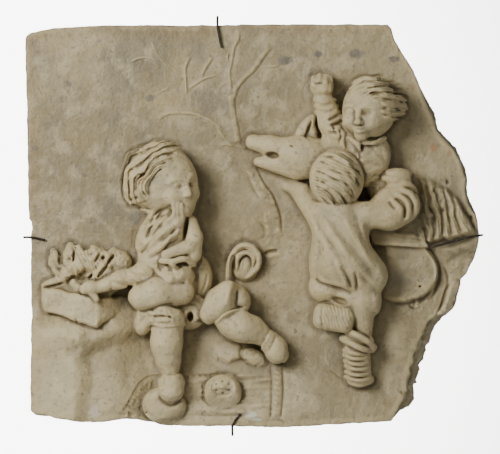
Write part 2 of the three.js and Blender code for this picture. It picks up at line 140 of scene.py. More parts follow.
# ------------------------------------------------------------------ block of stone
class Block:
    """The stone: f is the signed distance at [out, up, across], D what is drawn on its front."""

    def __init__(self):
        self.x = np.arange(*FIELD_ACROSS, VOXEL)
        self.z = np.arange(*FIELD_UP, VOXEL)
        # the slab's plain sides need fewer layers than the carving
        back = [-THICK - 1.2, -THICK + 0.4, -THICK + 2]
        sides = [-20.0, -17.5, -15, -12.5, -10, -8, -6.5, -5.2]
        self.h = np.concatenate([back, sides, np.arange(-4.0, FIELD_OUT, VOXEL)])
        self.X = self.x[None, :]
        self.Z = self.z[:, None]
        self.D = np.zeros((len(self.z), len(self.x)))
        self.f = None

    def start(self, surface):
        self.f = (self.h[:, None, None] - surface[None]).astype(np.float32)

    def window(self, lo, hi):
        """The part of the field between two corners, and its places across, up and out."""
        sl = []
        for axis, a, b in ((self.h, lo[2], hi[2]), (self.z, lo[1], hi[1]), (self.x, lo[0], hi[0])):
            i = max(0, int(np.searchsorted(axis, a)) - 1)
            j = min(len(axis), int(np.searchsorted(axis, b)) + 1)
            sl.append(slice(i, max(i + 1, j)))
        sh, sz, sx = sl
        x = self.x[sx][None, None, :]
        z = self.z[sz][None, :, None]
        h = self.h[sh][:, None, None]
        return tuple(sl), x, z, h

    def apply(self, shape, k=1.5, cut=False):
        lo, hi, dist = shape
        m = max(2.0, 1.2 * k)
        sl, x, z, h = self.window([v - m for v in lo], [v + m for v in hi])
        d = dist(x, z, h)
        a = self.f[sl]
        self.f[sl] = soft_max(a, -d, k) if cut else soft_min(a, d, k)

    def add(self, *shapes, k=1.5):
        for s in shapes:
            self.apply(s, k)

    def cut(self, *shapes, k=1.0):
        for s in shapes:
            self.apply(s, k, cut=True)

    # --- carving laid on the front: D > 0 is carved away, D < 0 stands out
    def near(self, points, reach):
        p = np.asarray(points)
        lo, hi = p.min(0) - reach, p.max(0) + reach
        i0, i1 = np.searchsorted(self.x, [lo[0], hi[0]])
        j0, j1 = np.searchsorted(self.z, [lo[1], hi[1]])
        return slice(j0, j1), slice(i0, i1)

    def distance(self, points, reach):
        """Unsigned distance, side and share along the curve, in a window round it."""
        curve = smooth_curve(points)
        sz, sx = self.near(curve, reach)
        x, z = self.X[:, sx], self.Z[sz, :]
        best = np.full((z.shape[0], x.shape[1]), 1e6)
        side = np.zeros_like(best)
        along = np.zeros_like(best)
        n = len(curve) - 1
        for i in range(n):
            a, b = curve[i], curve[i + 1]
            e = b - a
            t = np.clip(((x - a[0]) * e[0] + (z - a[1]) * e[1]) / (e @ e + TINY), 0, 1)
            dx, dz = x - a[0] - t * e[0], z - a[1] - t * e[1]
            d = dx * dx + dz * dz
            closer = d < best
            best = np.where(closer, d, best)
            # the side is + on the left of the way
            side = np.where(closer, np.sign(e[0] * dz - e[1] * dx), side)
            along = np.where(closer, (i + t) / n, along)
        return (sz, sx), np.sqrt(best), side, along

    def stroke(self, points, width, depth, taper=0.25):
        """A groove (depth > 0) or a ridge (depth < 0) that thins towards its ends."""
        win, d, _, along = self.distance(points, 3 * width)
        ends = np.clip(np.minimum(along, 1 - along) / max(taper, 1e-3), 0, 1) ** 0.6 if taper else 1.0
        self.D[win] += depth * ends * np.exp(-(d / width) ** 2)

    def strokes(self, *rows):
        """Strokes, each given as its points, width and depth."""
        for points, width, depth in rows:
            self.stroke(points, width, depth)

    def lap(self, points, width, depth, taper=0.15, lip=0.35):
        """An overlapping edge: a sharp drop on the right of the way, that rises again over width."""
        win, d, side, along = self.distance(points, 3 * width)
        ends = np.clip(np.minimum(along, 1 - along) / max(taper, 1e-3), 0, 1) ** 0.6
        s = d * side
        right = smoothstep(0.5, -0.9, s) * np.exp(-np.maximum(-s, 0) / width)
        left = lip * np.exp(-(np.maximum(s, 0) / width) ** 2) * smoothstep(-0.8, 0.4, s)
        self.D[win] += depth * ends * (right - left)

    def commit(self):
        """Cuts what has been drawn so far; forms added later cover it."""
        self.f += self.D[None].astype(np.float32)
        self.D[:] = 0

    def on(self, points, lift=0.0):
        """Puts places of the drawing on the carving as it stands, lifted by lift."""
        put = []
        for x, z in points:
            i = int(np.clip(round((x - self.x[0]) / VOXEL), 0, len(self.x) - 1))
            j = int(np.clip(round((z - self.z[0]) / VOXEL), 0, len(self.z) - 1))
            column = self.f[:, j, i]
            top = min(len(column) - 2, int(len(column) - 1 - np.argmax(column[::-1] < 0)))
            share = np.clip(column[top] / (column[top] - column[top + 1] + TINY), 0, 1)
            put.append((x, z, self.h[top] + share * (self.h[top + 1] - self.h[top]) + lift))
        return put

    def rope(self, points, radius, sink=0.5, k=1.2, ends=0.4):
        """A raised roll laid along the carving, sunk by a share of its radius."""
        self.add(tube(self.on(points, -sink * radius), radius, step=1.6, ends=ends), k=k)

    def front(self):
        """Height of the outermost surface, nan where there is no stone."""
        f = self.f
        inside = f < 0
        n = len(self.h)
        top = n - 1 - np.argmax(inside[::-1], axis=0)
        has = inside.any(axis=0)
        top = np.clip(top, 0, n - 2)
        jz, jx = np.indices(top.shape)
        a, b = f[top, jz, jx], f[top + 1, jz, jx]
        t = np.clip(-a / (b - a + TINY), 0, 1)
        height = self.h[top] + t * (self.h[top + 1] - self.h[top])
        return np.where(has, height, np.nan)


# ------------------------------------------------------------------ shapes
def egg(c, r, turn=0.0, nod=0.0, yaw=0.0, back=None):
    """A round form; behind its middle it runs back towards the slab with radius back."""
    c = np.asarray(c, float)
    rx, rz, rh = r
    rot = turned(turn, nod, yaw)
    if back is None:
        back = max(rh, 2.0 * (c[2] + 5))
    reach = np.sqrt((rot ** 2) @ (np.array([rx, rz, rh]) ** 2))
    lo, hi = c - reach, c + reach
    lo[2] = c[2] - back

    def dist(x, z, h):
        p = [x - c[0], z - c[1], h - c[2]]
        p[2] = np.where(p[2] < 0, p[2] * rh / back, p[2])
        q = own_axes(rot, p)
        k0 = np.sqrt((q[0] / rx) ** 2 + (q[1] / rz) ** 2 + (q[2] / rh) ** 2)
        k1 = np.sqrt((q[0] / rx ** 2) ** 2 + (q[1] / rz ** 2) ** 2 + (q[2] / rh ** 2) ** 2)
        return k0 * (k0 - 1) / (k1 + 1e-6)
    return lo, hi, dist


def limb(a, ra, b, rb, free=False):
    """A round bar between two places with ball ends. Behind its middle it runs into the slab."""
    a, b = np.asarray(a, float), np.asarray(b, float)
    e = b - a
    r = max(ra, rb)
    lo, hi = np.minimum(a, b) - r, np.maximum(a, b) + r
    if not free:
        lo[2] = -4

    def dist(x, z, h):
        px, pz, ph = x - a[0], z - a[1], h - a[2]
        t = np.clip((px * e[0] + pz * e[1] + ph * e[2]) / (e @ e + TINY), 0, 1)
        dx, dz, dh = px - t * e[0], pz - t * e[1], ph - t * e[2]
        if not free:
            t2 = np.clip((px * e[0] + pz * e[1]) / (e[0] ** 2 + e[1] ** 2 + 1e-6), 0, 1)
            behind = dh < 0
            dx = np.where(behind, px - t2 * e[0], dx)
            dz = np.where(behind, pz - t2 * e[1], dz)
            dh = np.where(behind, (ph - t2 * e[2]) * BACK_SLOPE, dh)
            t = np.where(behind, t2, t)
        return np.sqrt(dx * dx + dz * dz + dh * dh) - (ra + t * (rb - ra))
    return lo, hi, dist


def chain(places, radii):
    """Limbs from place to place, each place with its own radius."""
    balls = list(zip(places, radii))
    return [limb(*one, *other) for one, other in zip(balls, balls[1:])]


def tube(places, radius, step=2.0, ends=1.0):
    """A bar along a smooth curve; ends is the share of the radius left at its two ends."""
    c = smooth_curve(places, step)
    n = len(c)
    t = np.linspace(-1, 1, n)
    rad = radius * (ends + (1 - ends) * np.sqrt(np.clip(1 - t * t, 0, 1)))
    lo, hi = c.min(0) - radius, c.max(0) + radius

    def dist(x, z, h):
        best = None
        for i in range(n - 1):
            d = limb(c[i], rad[i], c[i + 1], rad[i + 1], free=True)[2](x, z, h)
            best = d if best is None else np.minimum(best, d)
        return best
    return lo, hi, dist


def slabbox(c, half, turn, nod, rnd):
    """A block with rounded edges."""
    c = np.asarray(c, float)
    rot = turned(turn, nod)
    half = np.asarray(half, float)
    reach = np.abs(rot) @ half

    def dist(x, z, h):
        p = [x - c[0], z - c[1], h - c[2]]
        q = [np.abs(v) - (half[i] - rnd) for i, v in enumerate(own_axes(rot, p))]
        out = np.sqrt(sum(np.maximum(v, 0) ** 2 for v in q))
        return out + np.minimum(np.maximum(q[0], np.maximum(q[1], q[2])), 0) - rnd
    return c - reach, c + reach, dist


def polygon_distance(x, z, points):
    """Signed distance to a closed outline, negative inside. x, z broadcast."""
    p = np.asarray(points, float)
    best = np.full(np.broadcast(x, z).shape, 1e9)
    inside = np.zeros(best.shape, bool)
    for i in range(len(p)):
        a, b = p[i], p[(i + 1) % len(p)]
        e = b - a
        t = np.clip(((x - a[0]) * e[0] + (z - a[1]) * e[1]) / (e @ e), 0, 1)
        d = (x - a[0] - t * e[0]) ** 2 + (z - a[1] - t * e[1]) ** 2
        best = np.minimum(best, d)
        meets = (b[0] - a[0]) * (z - a[1]) / (b[1] - a[1] + 1e-12) + a[0]
        inside ^= ((a[1] > z) != (b[1] > z)) & (x < meets)
    return np.where(inside, -1, 1) * np.sqrt(best)


def raised(points, base, height, rnd=1.0, slope=(0.0, 0.0), about=(0, 0)):
    """A flat form with the given outline; its top leans by slope mm per mm."""
    p = np.asarray(points, float)
    lo = np.array([p[:, 0].min(), p[:, 1].min(), base])
    most = height + 6 + abs(slope[0]) * 20 + abs(slope[1]) * 20
    hi = np.array([p[:, 0].max(), p[:, 1].max(), most])

    def dist(x, z, h):
        d2 = polygon_distance(x[0], z[0], p)[None] + rnd
        top = h - (height + slope[0] * (x - about[0]) + slope[1] * (z - about[1])) + rnd
        beyond = np.sqrt(np.maximum(d2, 0) ** 2 + np.maximum(top, 0) ** 2)
        return np.minimum(np.maximum(d2, top), 0) + beyond - rnd
    return lo, hi, dist


OUTLINE = [
    (-159, 133.5), (-156, 136), (-140, 139.5), (-110, 141), (-30, 141.5), (30, 142), (95, 142.2),
    (98, 139), (100, 132), (103, 125), (111, 113.5), (118, 99), (129, 79.5), (132, 68.5),
    (139, 60.5), (144, 55.5), (148.5, 46), (152, 35), (152.7, 24), (154, 18), (158, 9), (159, -8),
    (156.5, -22), (153.5, -26.5), (151, -33.5), (147, -37), (143.5, -52), (141, -58.5),
    (135.5, -65), (128, -77), (122, -90), (118.5, -102), (115, -122), (112, -127), (106, -132),
    (97, -136.5), (70, -138), (25, -140.5), (-30, -139.8), (-65, -139), (-80, -135.2),
    (-88, -134.5), (-103, -136.8), (-118, -136.8), (-145, -133), (-152, -131.5),
    (-155.5, -128), (-155, -80), (-155.5, -25), (-155.3, 3), (-157, 5), (-158, 60), (-159.5, 125),
]
N1, N2, N3 = (Noise(seed) for seed in (3, 11, 29))

HOLLOW = [
    (-121, -150), (-121, -112), (-119.5, -94), (-113, -84), (-100, -77), (-84, -73), (-60, -72),
    (-60, -150),
]


def squares(b, middle, radii):
    """Grows outwards from 0 at the middle of an oval, and is 1 on it."""
    return ((b.X - middle[0]) / radii[0]) ** 2 + ((b.Z - middle[1]) / radii[1]) ** 2


def hill(b, middle, radii):
    """A soft round rise, 1 at its middle."""
    return np.exp(-squares(b, middle, radii))


def oval(b, middle, radii, inner, outer=1.0):
    """1 inside an oval and 0 outside it, smooth between the two shares of its radii squared."""
    return smoothstep(outer, inner, squares(b, middle, radii))


def pits(b, places, radii, depth):
    """Drilled holes."""
    for x, z in places:
        b.D += depth * hill(b, (x, z), radii)


def ground(b):
    """The plain ground with its banks, hollow, boulder and broken rock."""
    X, Z = b.X, b.Z
    s = 0.5 * N1(X, Z, 60) + 0.3 * N1(X, Z, 25)
    foot = smoothstep(-175, -110, X) * (1 - 0.45 * smoothstep(30, 110, X))
    s = s + 12.5 * np.exp(-((Z + 130) / 36) ** 2) * foot
    # rock at the left foot, and the hollow cut beside it
    s += 7.5 * smoothstep(-62, -84, Z) * smoothstep(-70, -100, X)
    edge = polygon_distance(X, Z, HOLLOW) + 2.2 * N1(X, Z, 16)
    s -= 6.8 * smoothstep(4.5, -8.5, edge)
    # bank under and behind the fire box
    s += 10.5 * hill(b, (-128, -71), (22, 11))
    s += 7.5 * hill(b, (-98, -66), (15, 12))
    s += 5.0 * hill(b, (-118, -36), (26, 12))
    s += 2.0 * smoothstep(-40, -70, Z) * smoothstep(-60, -110, X)
    # the rock under the bench is a smooth boulder, and is broken to the right of it
    face = oval(b, (104, -31), (26, 22), 0.86, outer=1.12)
    s += 5.5 * face * smoothstep(84, 96, X) * smoothstep(-9, -15, Z)
    broken = smoothstep(121, 130, X + 0.25 * (Z + 30) + 3 * N2(X, Z, 18)) * smoothstep(-14, -20, Z)
    s += -1.5 * broken
    s += 5.5 * hill(b, (103, -80), (17, 22))
    s -= 2.5 * hill(b, (92, -97), (8, 16))
    # low bank under the front child's straight leg
    s += 2.5 * hill(b, (45, -108), (16, 12))
    outcrop = hill(b, (-122, -80), (9, 7))
    s += outcrop * (1.5 + 2.2 * N3.rough(X, Z, 7, 3))
    rough = 0.16 + 0.7 * smoothstep(-60, -110, Z) + 0.9 * broken
    s += rough * 0.55 * N2.rough(X, Z, 15, 4)
    # cloudy tooling of the plain ground
    s += 0.2 * N3.rough(X, Z, 7, 3)
    return s


# ---------------------------------------------------------------- faces
def face(b, origin, size, turn, nod, yaw, cover_mouth=False):
    """A calm child's face on plain proportions: eyes low on the head, short nose, full cheeks."""
    rot = turned(turn, nod, yaw)
    o = np.asarray(origin, float)

    def at(u, v, w):
        return o + size * (rot @ np.array([u, v, w]))

    def e(u, v, w, ru, rv, rw):
        return egg(at(u, v, w), (size * ru, size * rv, size * rw), turn, nod, yaw, back=size * rw)

    def t(points, r, ends=0.35):
        return tube([at(*p) for p in points], size * r, step=1.2, ends=ends)

    sides = (-1, 1)
    b.add(e(0, -1.5, 0, 14.8, 18.8, 17.4), k=3)
    for s in sides:
        b.add(t([(s * 11.5, 2.4, 13.2), (s * 7.5, 4.6, 16.2), (s * 2.6, 3.4, 18.4)], 1.5), k=2.6)
        b.add(e(s * 8.2, -7.6, 12.6, 5.2, 5.0, 5.0), k=3.2)
    for s in sides:
        b.cut(e(s * 6.3, -0.8, 19.4, 4.2, 2.4, 3.3), k=2.4)
    for s in sides:
        b.add(e(s * 6.3, -0.9, 13.6, 3.5, 2.5, 3.2), k=0.5)
        b.add(t([(s * 3.0, -1.0, 16.0), (s * 6.2, 1.3, 16.5), (s * 9.6, -0.6, 14.2)], 0.8), k=0.6)
        b.add(t([(s * 3.2, -1.8, 15.8), (s * 6.2, -3.1, 15.9), (s * 9.2, -1.8, 14.2)], 0.7), k=0.7)
    b.add(limb(at(0, 2.2, 17.2), size * 1.5, at(0, -6.4, 20.6), size * 2.1, free=True), k=2.0)
    b.add(e(0, -7.0, 20.4, 2.3, 1.9, 2.2), k=1.0)
    for s in sides:
        b.add(e(s * 2.3, -7.4, 18.6, 1.5, 1.4, 1.9), k=0.8)
    if not cover_mouth:
        b.add(e(0, -12.4, 15.6, 4.4, 3.2, 2.6), k=2.5)
        b.add(t([(-4.0, -12.0, 16.0), (-1.4, -11.2, 18.2), (0, -11.5, 18.4), (1.4, -11.2, 18.2),
                 (4.0, -12.0, 16.0)], 0.95), k=0.7)
        b.add(t([(-3.0, -13.5, 16.4), (0, -14.2, 18.0), (3.0, -13.5, 16.4)], 1.15), k=0.7)
        b.cut(t([(-4.6, -12.5, 16.4), (0, -12.8, 19.6), (4.6, -12.5, 16.4)], 0.5), k=0.5)
        b.cut(e(0, -16.2, 18.3, 2.6, 0.9, 1.2), k=1.2)
    b.add(e(0, -17.6, 11.8, 4.6, 3.8, 4.6), k=3)


def locks(b, paths, radius, k, sink):
    """Thick strands of hair, laid on the head one by one."""
    for path in paths:
        b.rope(path, radius, sink, k, ends=0.45)


def strands(b, area, u, lock_width, hair_width, depth):
    """Hair combed along the lines of even u: locks, with finer hairs in them."""
    lock = 0.5 + 0.5 * np.sin(2 * np.pi * u / lock_width)
    b.D += area * depth * ((1 - lock) ** 1.6 + 0.32 * np.sin(2 * np.pi * u / hair_width))


def crumple(b, middle, radii, size, depth, lean=0.0, stretch=2.5):
    """Folds of cloth with rounded backs and sharp valleys, that run along lean."""
    X, Z = b.X, b.Z
    area = smoothstep(1.0, 0.45, ((X - middle[0]) / radii[0]) ** 2 + ((Z - middle[1]) / radii[1]) ** 2)
    bent_x = X + 0.35 * size * N1(X, Z, 1.6 * size)
    bent_z = Z + 0.35 * size * N3(X, Z, 1.6 * size)
    fold = N2(bent_x, bent_z, size, stretch=stretch, lean=lean)
    finer = N1(bent_x, bent_z, 0.45 * size, stretch=stretch, lean=lean)
    valleys = 1.1 - 2.6 * np.minimum(np.abs(fold), 0.5)
    b.D += area * depth * (valleys + 0.35 * (0.5 - np.abs(finer)) - 0.45)


# ---------------------------------------------------------------- the pig on the bench
def pig(b):
    """The pig's head, with its snout to the left."""
    b.add(*chain([(0.5, 59, 8), (13, 56, 10), (30, 51, 10)], (5.4, 7.2, 11.5)), k=3)
    b.add(egg((38, 48, 8), (19, 15, 15), -12), k=5)
    b.add(limb((4, 45.2, 8), 3.4, (30, 41, 9), 8.5), k=3)
    b.add(egg((20, 46, 5), (10, 8, 8), -15), k=3)
    b.add(egg((36.5, 68, 8), (4.6, 12, 4.5), -33), k=1.5)
    b.add(egg((41.8, 66, 6), (3.2, 9, 4.5), 8), k=1.5)
    b.cut(egg((39.2, 68, 12.5), (1.4, 7.5, 3), -20, back=4), k=1.0)
    b.cut(egg((13.5, 49.6, 17), (5.2, 2.6, 7), -6, back=8), k=1.0)
    b.cut(egg((27, 56.2, 21.5), (2.6, 0.9, 3), -22, back=3), k=0.8)
    b.cut(tube([(-3, 55.2, 13.5), (3, 53.4, 14.6), (8, 51.4, 16)], 0.8), k=0.8)
    b.stroke([(24, 58.2), (28, 57.2), (30.5, 55)], 1.2, -0.7)
    b.stroke([(1, 62), (3.5, 59), (2.5, 55.5)], 1.0, 0.5)
    b.cut(egg((-2.6, 60.8, 13.6), (0.9, 1.2, 2), 0, back=2), k=0.6)
    for z0 in (39, 36.5, 34):
        b.stroke([(14, z0 + 3), (22, z0), (34, z0 - 2.5)], 1.1, 0.45)
    b.commit()


# ---------------------------------------------------------------- the rider
RIDER_HEAD = ((82, 83, 22), (18.3, 21.2, 18))
RIDER_HAIR = [
    (68, 98), (75, 98.5), (80.5, 94.5), (84, 89.5), (87, 84), (90, 78), (93, 72), (101, 72),
    (110, 80), (110, 93), (99, 103), (88, 108), (72, 106),
]


def rider(b):
    """The child behind the pig, with a raised fist."""
    b.add(limb((49.3, 90, 11), 6.4, (54.5, 72, 13), 9), k=3)
    b.add(egg((62, 61, 12), (13, 12, 11), -25), k=4)
    b.add(egg((76, 46, 13), (19, 19, 14.5), 5), k=4)
    b.add(egg((86, 51, 12), (10.3, 12.5, 12)), k=3)
    # wrinkles of the raised sleeve
    for z0, w in ((87.4, 6.8), (83.0, 7.4), (78.6, 8.0)):
        xc = 49.8 + (90 - z0) * 0.26
        b.add(
            tube([(xc - w, z0 + 1.2, 11), (xc, z0 - 1.2, 18.4), (xc + w, z0 + 0.8, 11)], 1.5),
            k=1.1,
        )
    b.add(tube([(47.5, 74.5, 14), (55, 72.6, 22), (62.5, 76.2, 14)], 1.7), k=1.2)
    b.add(tube([(49.5, 69.5, 14), (57, 67, 22), (63.5, 71, 15)], 1.6), k=1.2)
    b.add(tube([(52, 65, 16), (59, 62.5, 23), (64.5, 66.5, 17)], 1.6), k=1.2)
    # fist: curled fingers over the palm
    b.add(egg((48.3, 97.5, 12), (8.2, 7.6, 8.5)), k=1.5)
    for x, z in ((43.2, 103), (47.2, 104.6), (51.2, 104.2)):
        b.add(limb((x, z, 13), 2.5, (x - 0.4, z - 4.4, 18.4), 2.2), k=0.7)
    b.add(limb((53.6, 103.5, 12), 2.6, (53, 95.5, 17), 2.7), k=0.9)
    b.add(limb((50.5, 95.5, 19), 2.1, (44, 97.5, 18.4), 1.9), k=0.8)
    b.cut(egg((46.5, 99.6, 20.5), (3.6, 1.0, 2.4), 8, back=2.5), k=0.7)
    # head
    b.add(egg(*RIDER_HEAD), k=0.8)
    b.add(egg((77.8, 74.5, 22), (14.2, 12.5, 14), 0), k=3)
    b.add(egg((98, 84, 11), (9.8, 8.6, 9), -12), k=3)
    face(b, (77.5, 81.5, 20.5), 0.98, 2, 7, -14)
    locks(b, [
        [(70, 97.5), (74, 100.5), (82, 101.5), (90, 98.4)],
        [(68.5, 93.5), (74, 97), (83, 98), (92, 94.5)],
        [(76, 93.5), (84, 95), (92, 92.0), (98, 91.0)],
        [(84, 87.0), (91, 89.2), (97.5, 88.0), (103.5, 84.5)],
        [(87, 83.2), (94, 85.2), (99.5, 84), (104.5, 80.4)],
        [(89.5, 79), (95.5, 80.6), (100, 79.6), (103.5, 77.6)],
        [(91.5, 75.5), (96, 77), (99.5, 76.6)],
    ], 2.3, k=1.2, sink=0.35)
    b.cut(egg((84.6, 91.9, 39), (4.2, 1.6, 3.2), -8, back=3.0), k=1.2)
    # hair blown to the right
    X, Z = b.X, b.Z
    area = smoothstep(1.0, -2.0, polygon_distance(X, Z, RIDER_HAIR))
    u = np.hypot(X - 92, Z - 50) + 1.9 * N1(X, Z, 11) + 0.9 * N2(X, Z, 5)
    b.D -= 0.8 * area
    strands(b, area, u, 4.8, 2.2, 1.6)
    crown = oval(b, (82, 83), (19.5, 22), 0.86)
    crown *= smoothstep(0, 4, Z - 90 + 0.25 * (X - 70))
    b.D += 0.45 * crown * (1 - area) * np.sin(2 * np.pi * (u / 2.3))
    for p in (
        [(92, 96), (99, 98), (106, 99.5)], [(96, 93), (102, 94.5), (109, 93)],
        [(99, 101), (104, 104.5)],
    ):
        b.stroke(p, 0.9, 0.5)
    # collar, button and shirt folds
    b.add(tube([(66, 62, 22), (72.5, 57.4, 28), (75, 52, 28.5)], 1.9), k=1.4)
    b.add(tube([(76, 58.0, 27.4), (85, 58.2, 26), (92, 61.5, 18)], 1.6), k=2.6)
    b.stroke([(75.5, 59.5), (76, 54), (74, 49)], 1.0, 1.0)
    for p, d in (
        ([(70, 56), (74, 50), (76, 43)], 0.9), ([(67, 50), (73, 48), (80, 50), (86, 55)], 0.7),
        ([(80, 56), (86, 52), (92, 46)], 0.8), ([(76, 42), (82, 44), (90, 42)], 0.8),
        ([(60, 58), (64, 52), (68, 50)], 0.9), ([(62, 64), (66, 58), (69, 52)], 0.8),
    ):
        b.stroke(p, 1.3, d)
    b.stroke([(72, 52), (75, 47), (79, 45)], 1.2, -0.9)
    b.add(egg((73, 48.3, 27.5), (1.3, 1.3, 1.2), back=2), k=0.4)
    b.stroke([(41, 104), (36.5, 98), (36, 90), (39.5, 84)], 0.8, 0.55)
    b.strokes(
        ([(43.5, 85.6), (50, 84.6), (57, 86)], 0.9, 1.0),
        ([(44, 81.4), (51, 80), (58.5, 81.4)], 0.9, 1.1),
        ([(52, 73.6), (56, 75.4), (60.5, 78.4)], 1.1, 2.2),
        ([(54, 70.4), (58, 71.2), (63, 73.8)], 1.1, 1.8),
        ([(48.6, 68), (50, 65), (51.5, 61.5)], 0.9, 1.0),
        ([(55.5, 70), (58, 65.5), (59.5, 61)], 0.9, 1.0),
        ([(60.5, 68), (61.5, 62.5), (59.5, 55.5)], 1.0, 1.2),
        ([(66, 66), (64.5, 58.5), (67.5, 52.5)], 1.0, 1.2),
    )
    crumple(b, (81, 47), (15, 11), 7, 1.3, lean=25)
    crumple(b, (60, 61), (10, 11), 5.5, 1.2, lean=100)
    b.commit()


# ---------------------------------------------------------------- the child in front
FRONT_HEAD = ((58.5, 33, 25), (19, 20.8, 19.5))


def front_child(b):
    """The child seen from behind, leaning over the bench."""
    X, Z = b.X, b.Z
    # rough wool between the two children
    b.add(egg((89, 29, 9), (9.5, 11.5, 8.5)), k=2)
    wool = oval(b, (90, 29), (9.5, 10), 0.7)
    b.D += wool * 0.9 * np.abs(N3.rough(X, Z, 3.2, 2))
    b.commit()
    b.add(egg((58, 14, 22), (14, 11, 13)), k=3)
    # trunk: low at the left edge, full at the right
    b.add(egg((62, -4, 22), (20.5, 24, 17)), k=4)
    b.add(egg((66, -24, 22), (22, 20, 17), -30), k=5)
    b.add(egg((79, -34, 20), (15, 15, 13), -35), k=4)
    b.add(egg((53, -26, 15), (13.5, 20, 13), 8), k=5)
    b.add(egg((53.5, -43, 13), (14.5, 11, 13), 0), k=3)
    b.add(limb((29, 27, 1), 4.5, (48, 8, 18), 11), k=5)
    b.add(limb((24, 28.5, 1), 3, (36, 25, 8), 5), k=3)
    # right arm in its wide sleeve
    b.add(*chain([(78, 8, 25), (95, 7.5, 24), (106, 13, 21)], (9.5, 9.2, 9.5)), k=4)
    b.add(egg((98, 14, 19), (17, 14.5, 12), 25), k=4)
    b.add(limb((106, 16, 21), 9.5, (101.5, 31, 18), 8.5), k=4)
    # coat folds, running down to the right
    b.strokes(
        ([(41, 8), (46, 0), (52, -9), (60, -20), (66, -30)], 2.2, 1.5),
        ([(50, 12), (58, 0), (68, -14), (80, -28), (88, -40)], 2.6, 1.3),
        ([(70, 10), (75, -3), (81, -16), (88, -30)], 2.4, 1.3),
        ([(61, -27), (65, -34), (69, -43)], 1.6, 1.9),
        ([(71, -31), (72, -38), (72.5, -46)], 1.1, 2.0),
        ([(44, -4), (47, -14), (46, -24)], 2.0, 0.9), ([(74, -33), (82, -41), (88, -48)], 1.8, 1.2),
        ([(77, 2), (81, -8), (84, -18)], 1.6, 1.0),
    )
    b.strokes(
        ([(46, 6), (52, -4), (60, -15), (67, -27)], 2.4, -1.2),
        ([(62, 8), (70, -5), (80, -20), (91, -37)], 2.8, -1.5),
        ([(74, 6), (79, -8), (85, -22), (93, -38)], 2.2, -1.2),
        ([(57, -22), (62, -32), (66, -42)], 2.0, -1.1),
        ([(43.5, 2), (43.5, -15), (41, -28), (39.8, -42)], 1.6, -1.2),
        ([(45.5, 10), (56, -4), (70, -24), (84, -40)], 1.6, -0.7),
    )
    crumple(b, (66, -14), (24, 30), 11, 1.3, lean=-58, stretch=3.5)
    b.lap([(44.5, -35), (48.5, -38.5), (57, -41), (64, -43.4), (70, -47.5)], 3.0, 2.8, lip=0.4)
    b.commit()
    # sleeve folds round the elbow
    for p, radius in (
        ([(103, 25.8), (109.3, 23), (113, 17.5), (113.8, 12), (112.3, 7.5)], 1.8),
        ([(99.5, 22.6), (104.5, 19.6), (107.6, 15), (108.6, 10), (107, 4.5)], 2.0),
        ([(95.5, 20), (99.3, 15.8), (102.5, 12), (103, 7)], 2.1),
        ([(104, 30), (111, 28), (115, 22.5)], 1.5),
    ):
        b.rope(p, radius, sink=0.35, k=2.2, ends=0.3)
    b.strokes(
        ([(103, 23), (108.4, 20), (111, 15.5), (111.2, 8.5)], 1.0, 1.7),
        ([(98.5, 19.8), (103.8, 16.2), (105.8, 12), (105.2, 5)], 1.2, 2.3),
        ([(94.5, 17.8), (96.4, 14.2), (99.4, 11.6)], 1.0, 1.4),
        ([(105, 27.6), (111, 25.4), (114, 20.5)], 0.9, 1.4),
    )
    b.commit()
    # fist above the sleeve
    b.add(tube([(92, 33.5, 19), (99, 32.4, 25.5), (108, 34, 20)], 2.2), k=1.4)
    b.add(egg((101, 36.5, 15), (10, 4.2, 8)), k=1.5)
    for x in (95.5, 99.6, 103.6, 107.6):
        b.add(egg((x, 38.2 - 0.06 * (x - 101) ** 2, 18), (2.3, 2.6, 3.6), back=12), k=0.7)
    # head
    b.add(egg(*FRONT_HEAD), k=0.8)
    head = oval(b, (58.5, 33), (19, 20.8), 0.6, outer=0.93)
    r = np.hypot(X - 38, Z - 3)
    wobble = 1.6 * N1(X, Z, 16) + 0.9 * N2(X, Z, 7)
    lock = 0.5 + 0.5 * np.sin(2 * np.pi * (r + 1.5 * wobble) / 5.4)
    hairs = 0.2 * np.sin(2 * np.pi * (r + 1.5 * wobble) / 1.9)
    b.D += head * (1.0 * (1 - lock) ** 1.6 + hairs) * smoothstep(8, 14, r)
    b.commit()
    locks(b, [
        [(50.5, 43.5), (57, 46), (64, 43.5), (69, 36), (70, 28.5)],
        [(47.5, 37), (54, 41.5), (62, 38.5), (66.5, 31), (67, 24)],
        [(46, 30.5), (52, 35.6), (59.5, 33.4), (63.5, 27), (63, 21)],
        [(47, 25.5), (51.5, 28.5), (56.5, 26.4), (60, 21), (59, 18)],
    ], 2.8, k=2.4, sink=0.45)
    combed = np.hypot(X - 44, Z - 10) + 2.6 * N1(X, Z, 15)
    strands(b, head, combed, 5.8, 2.1, 1.2)
    b.commit()
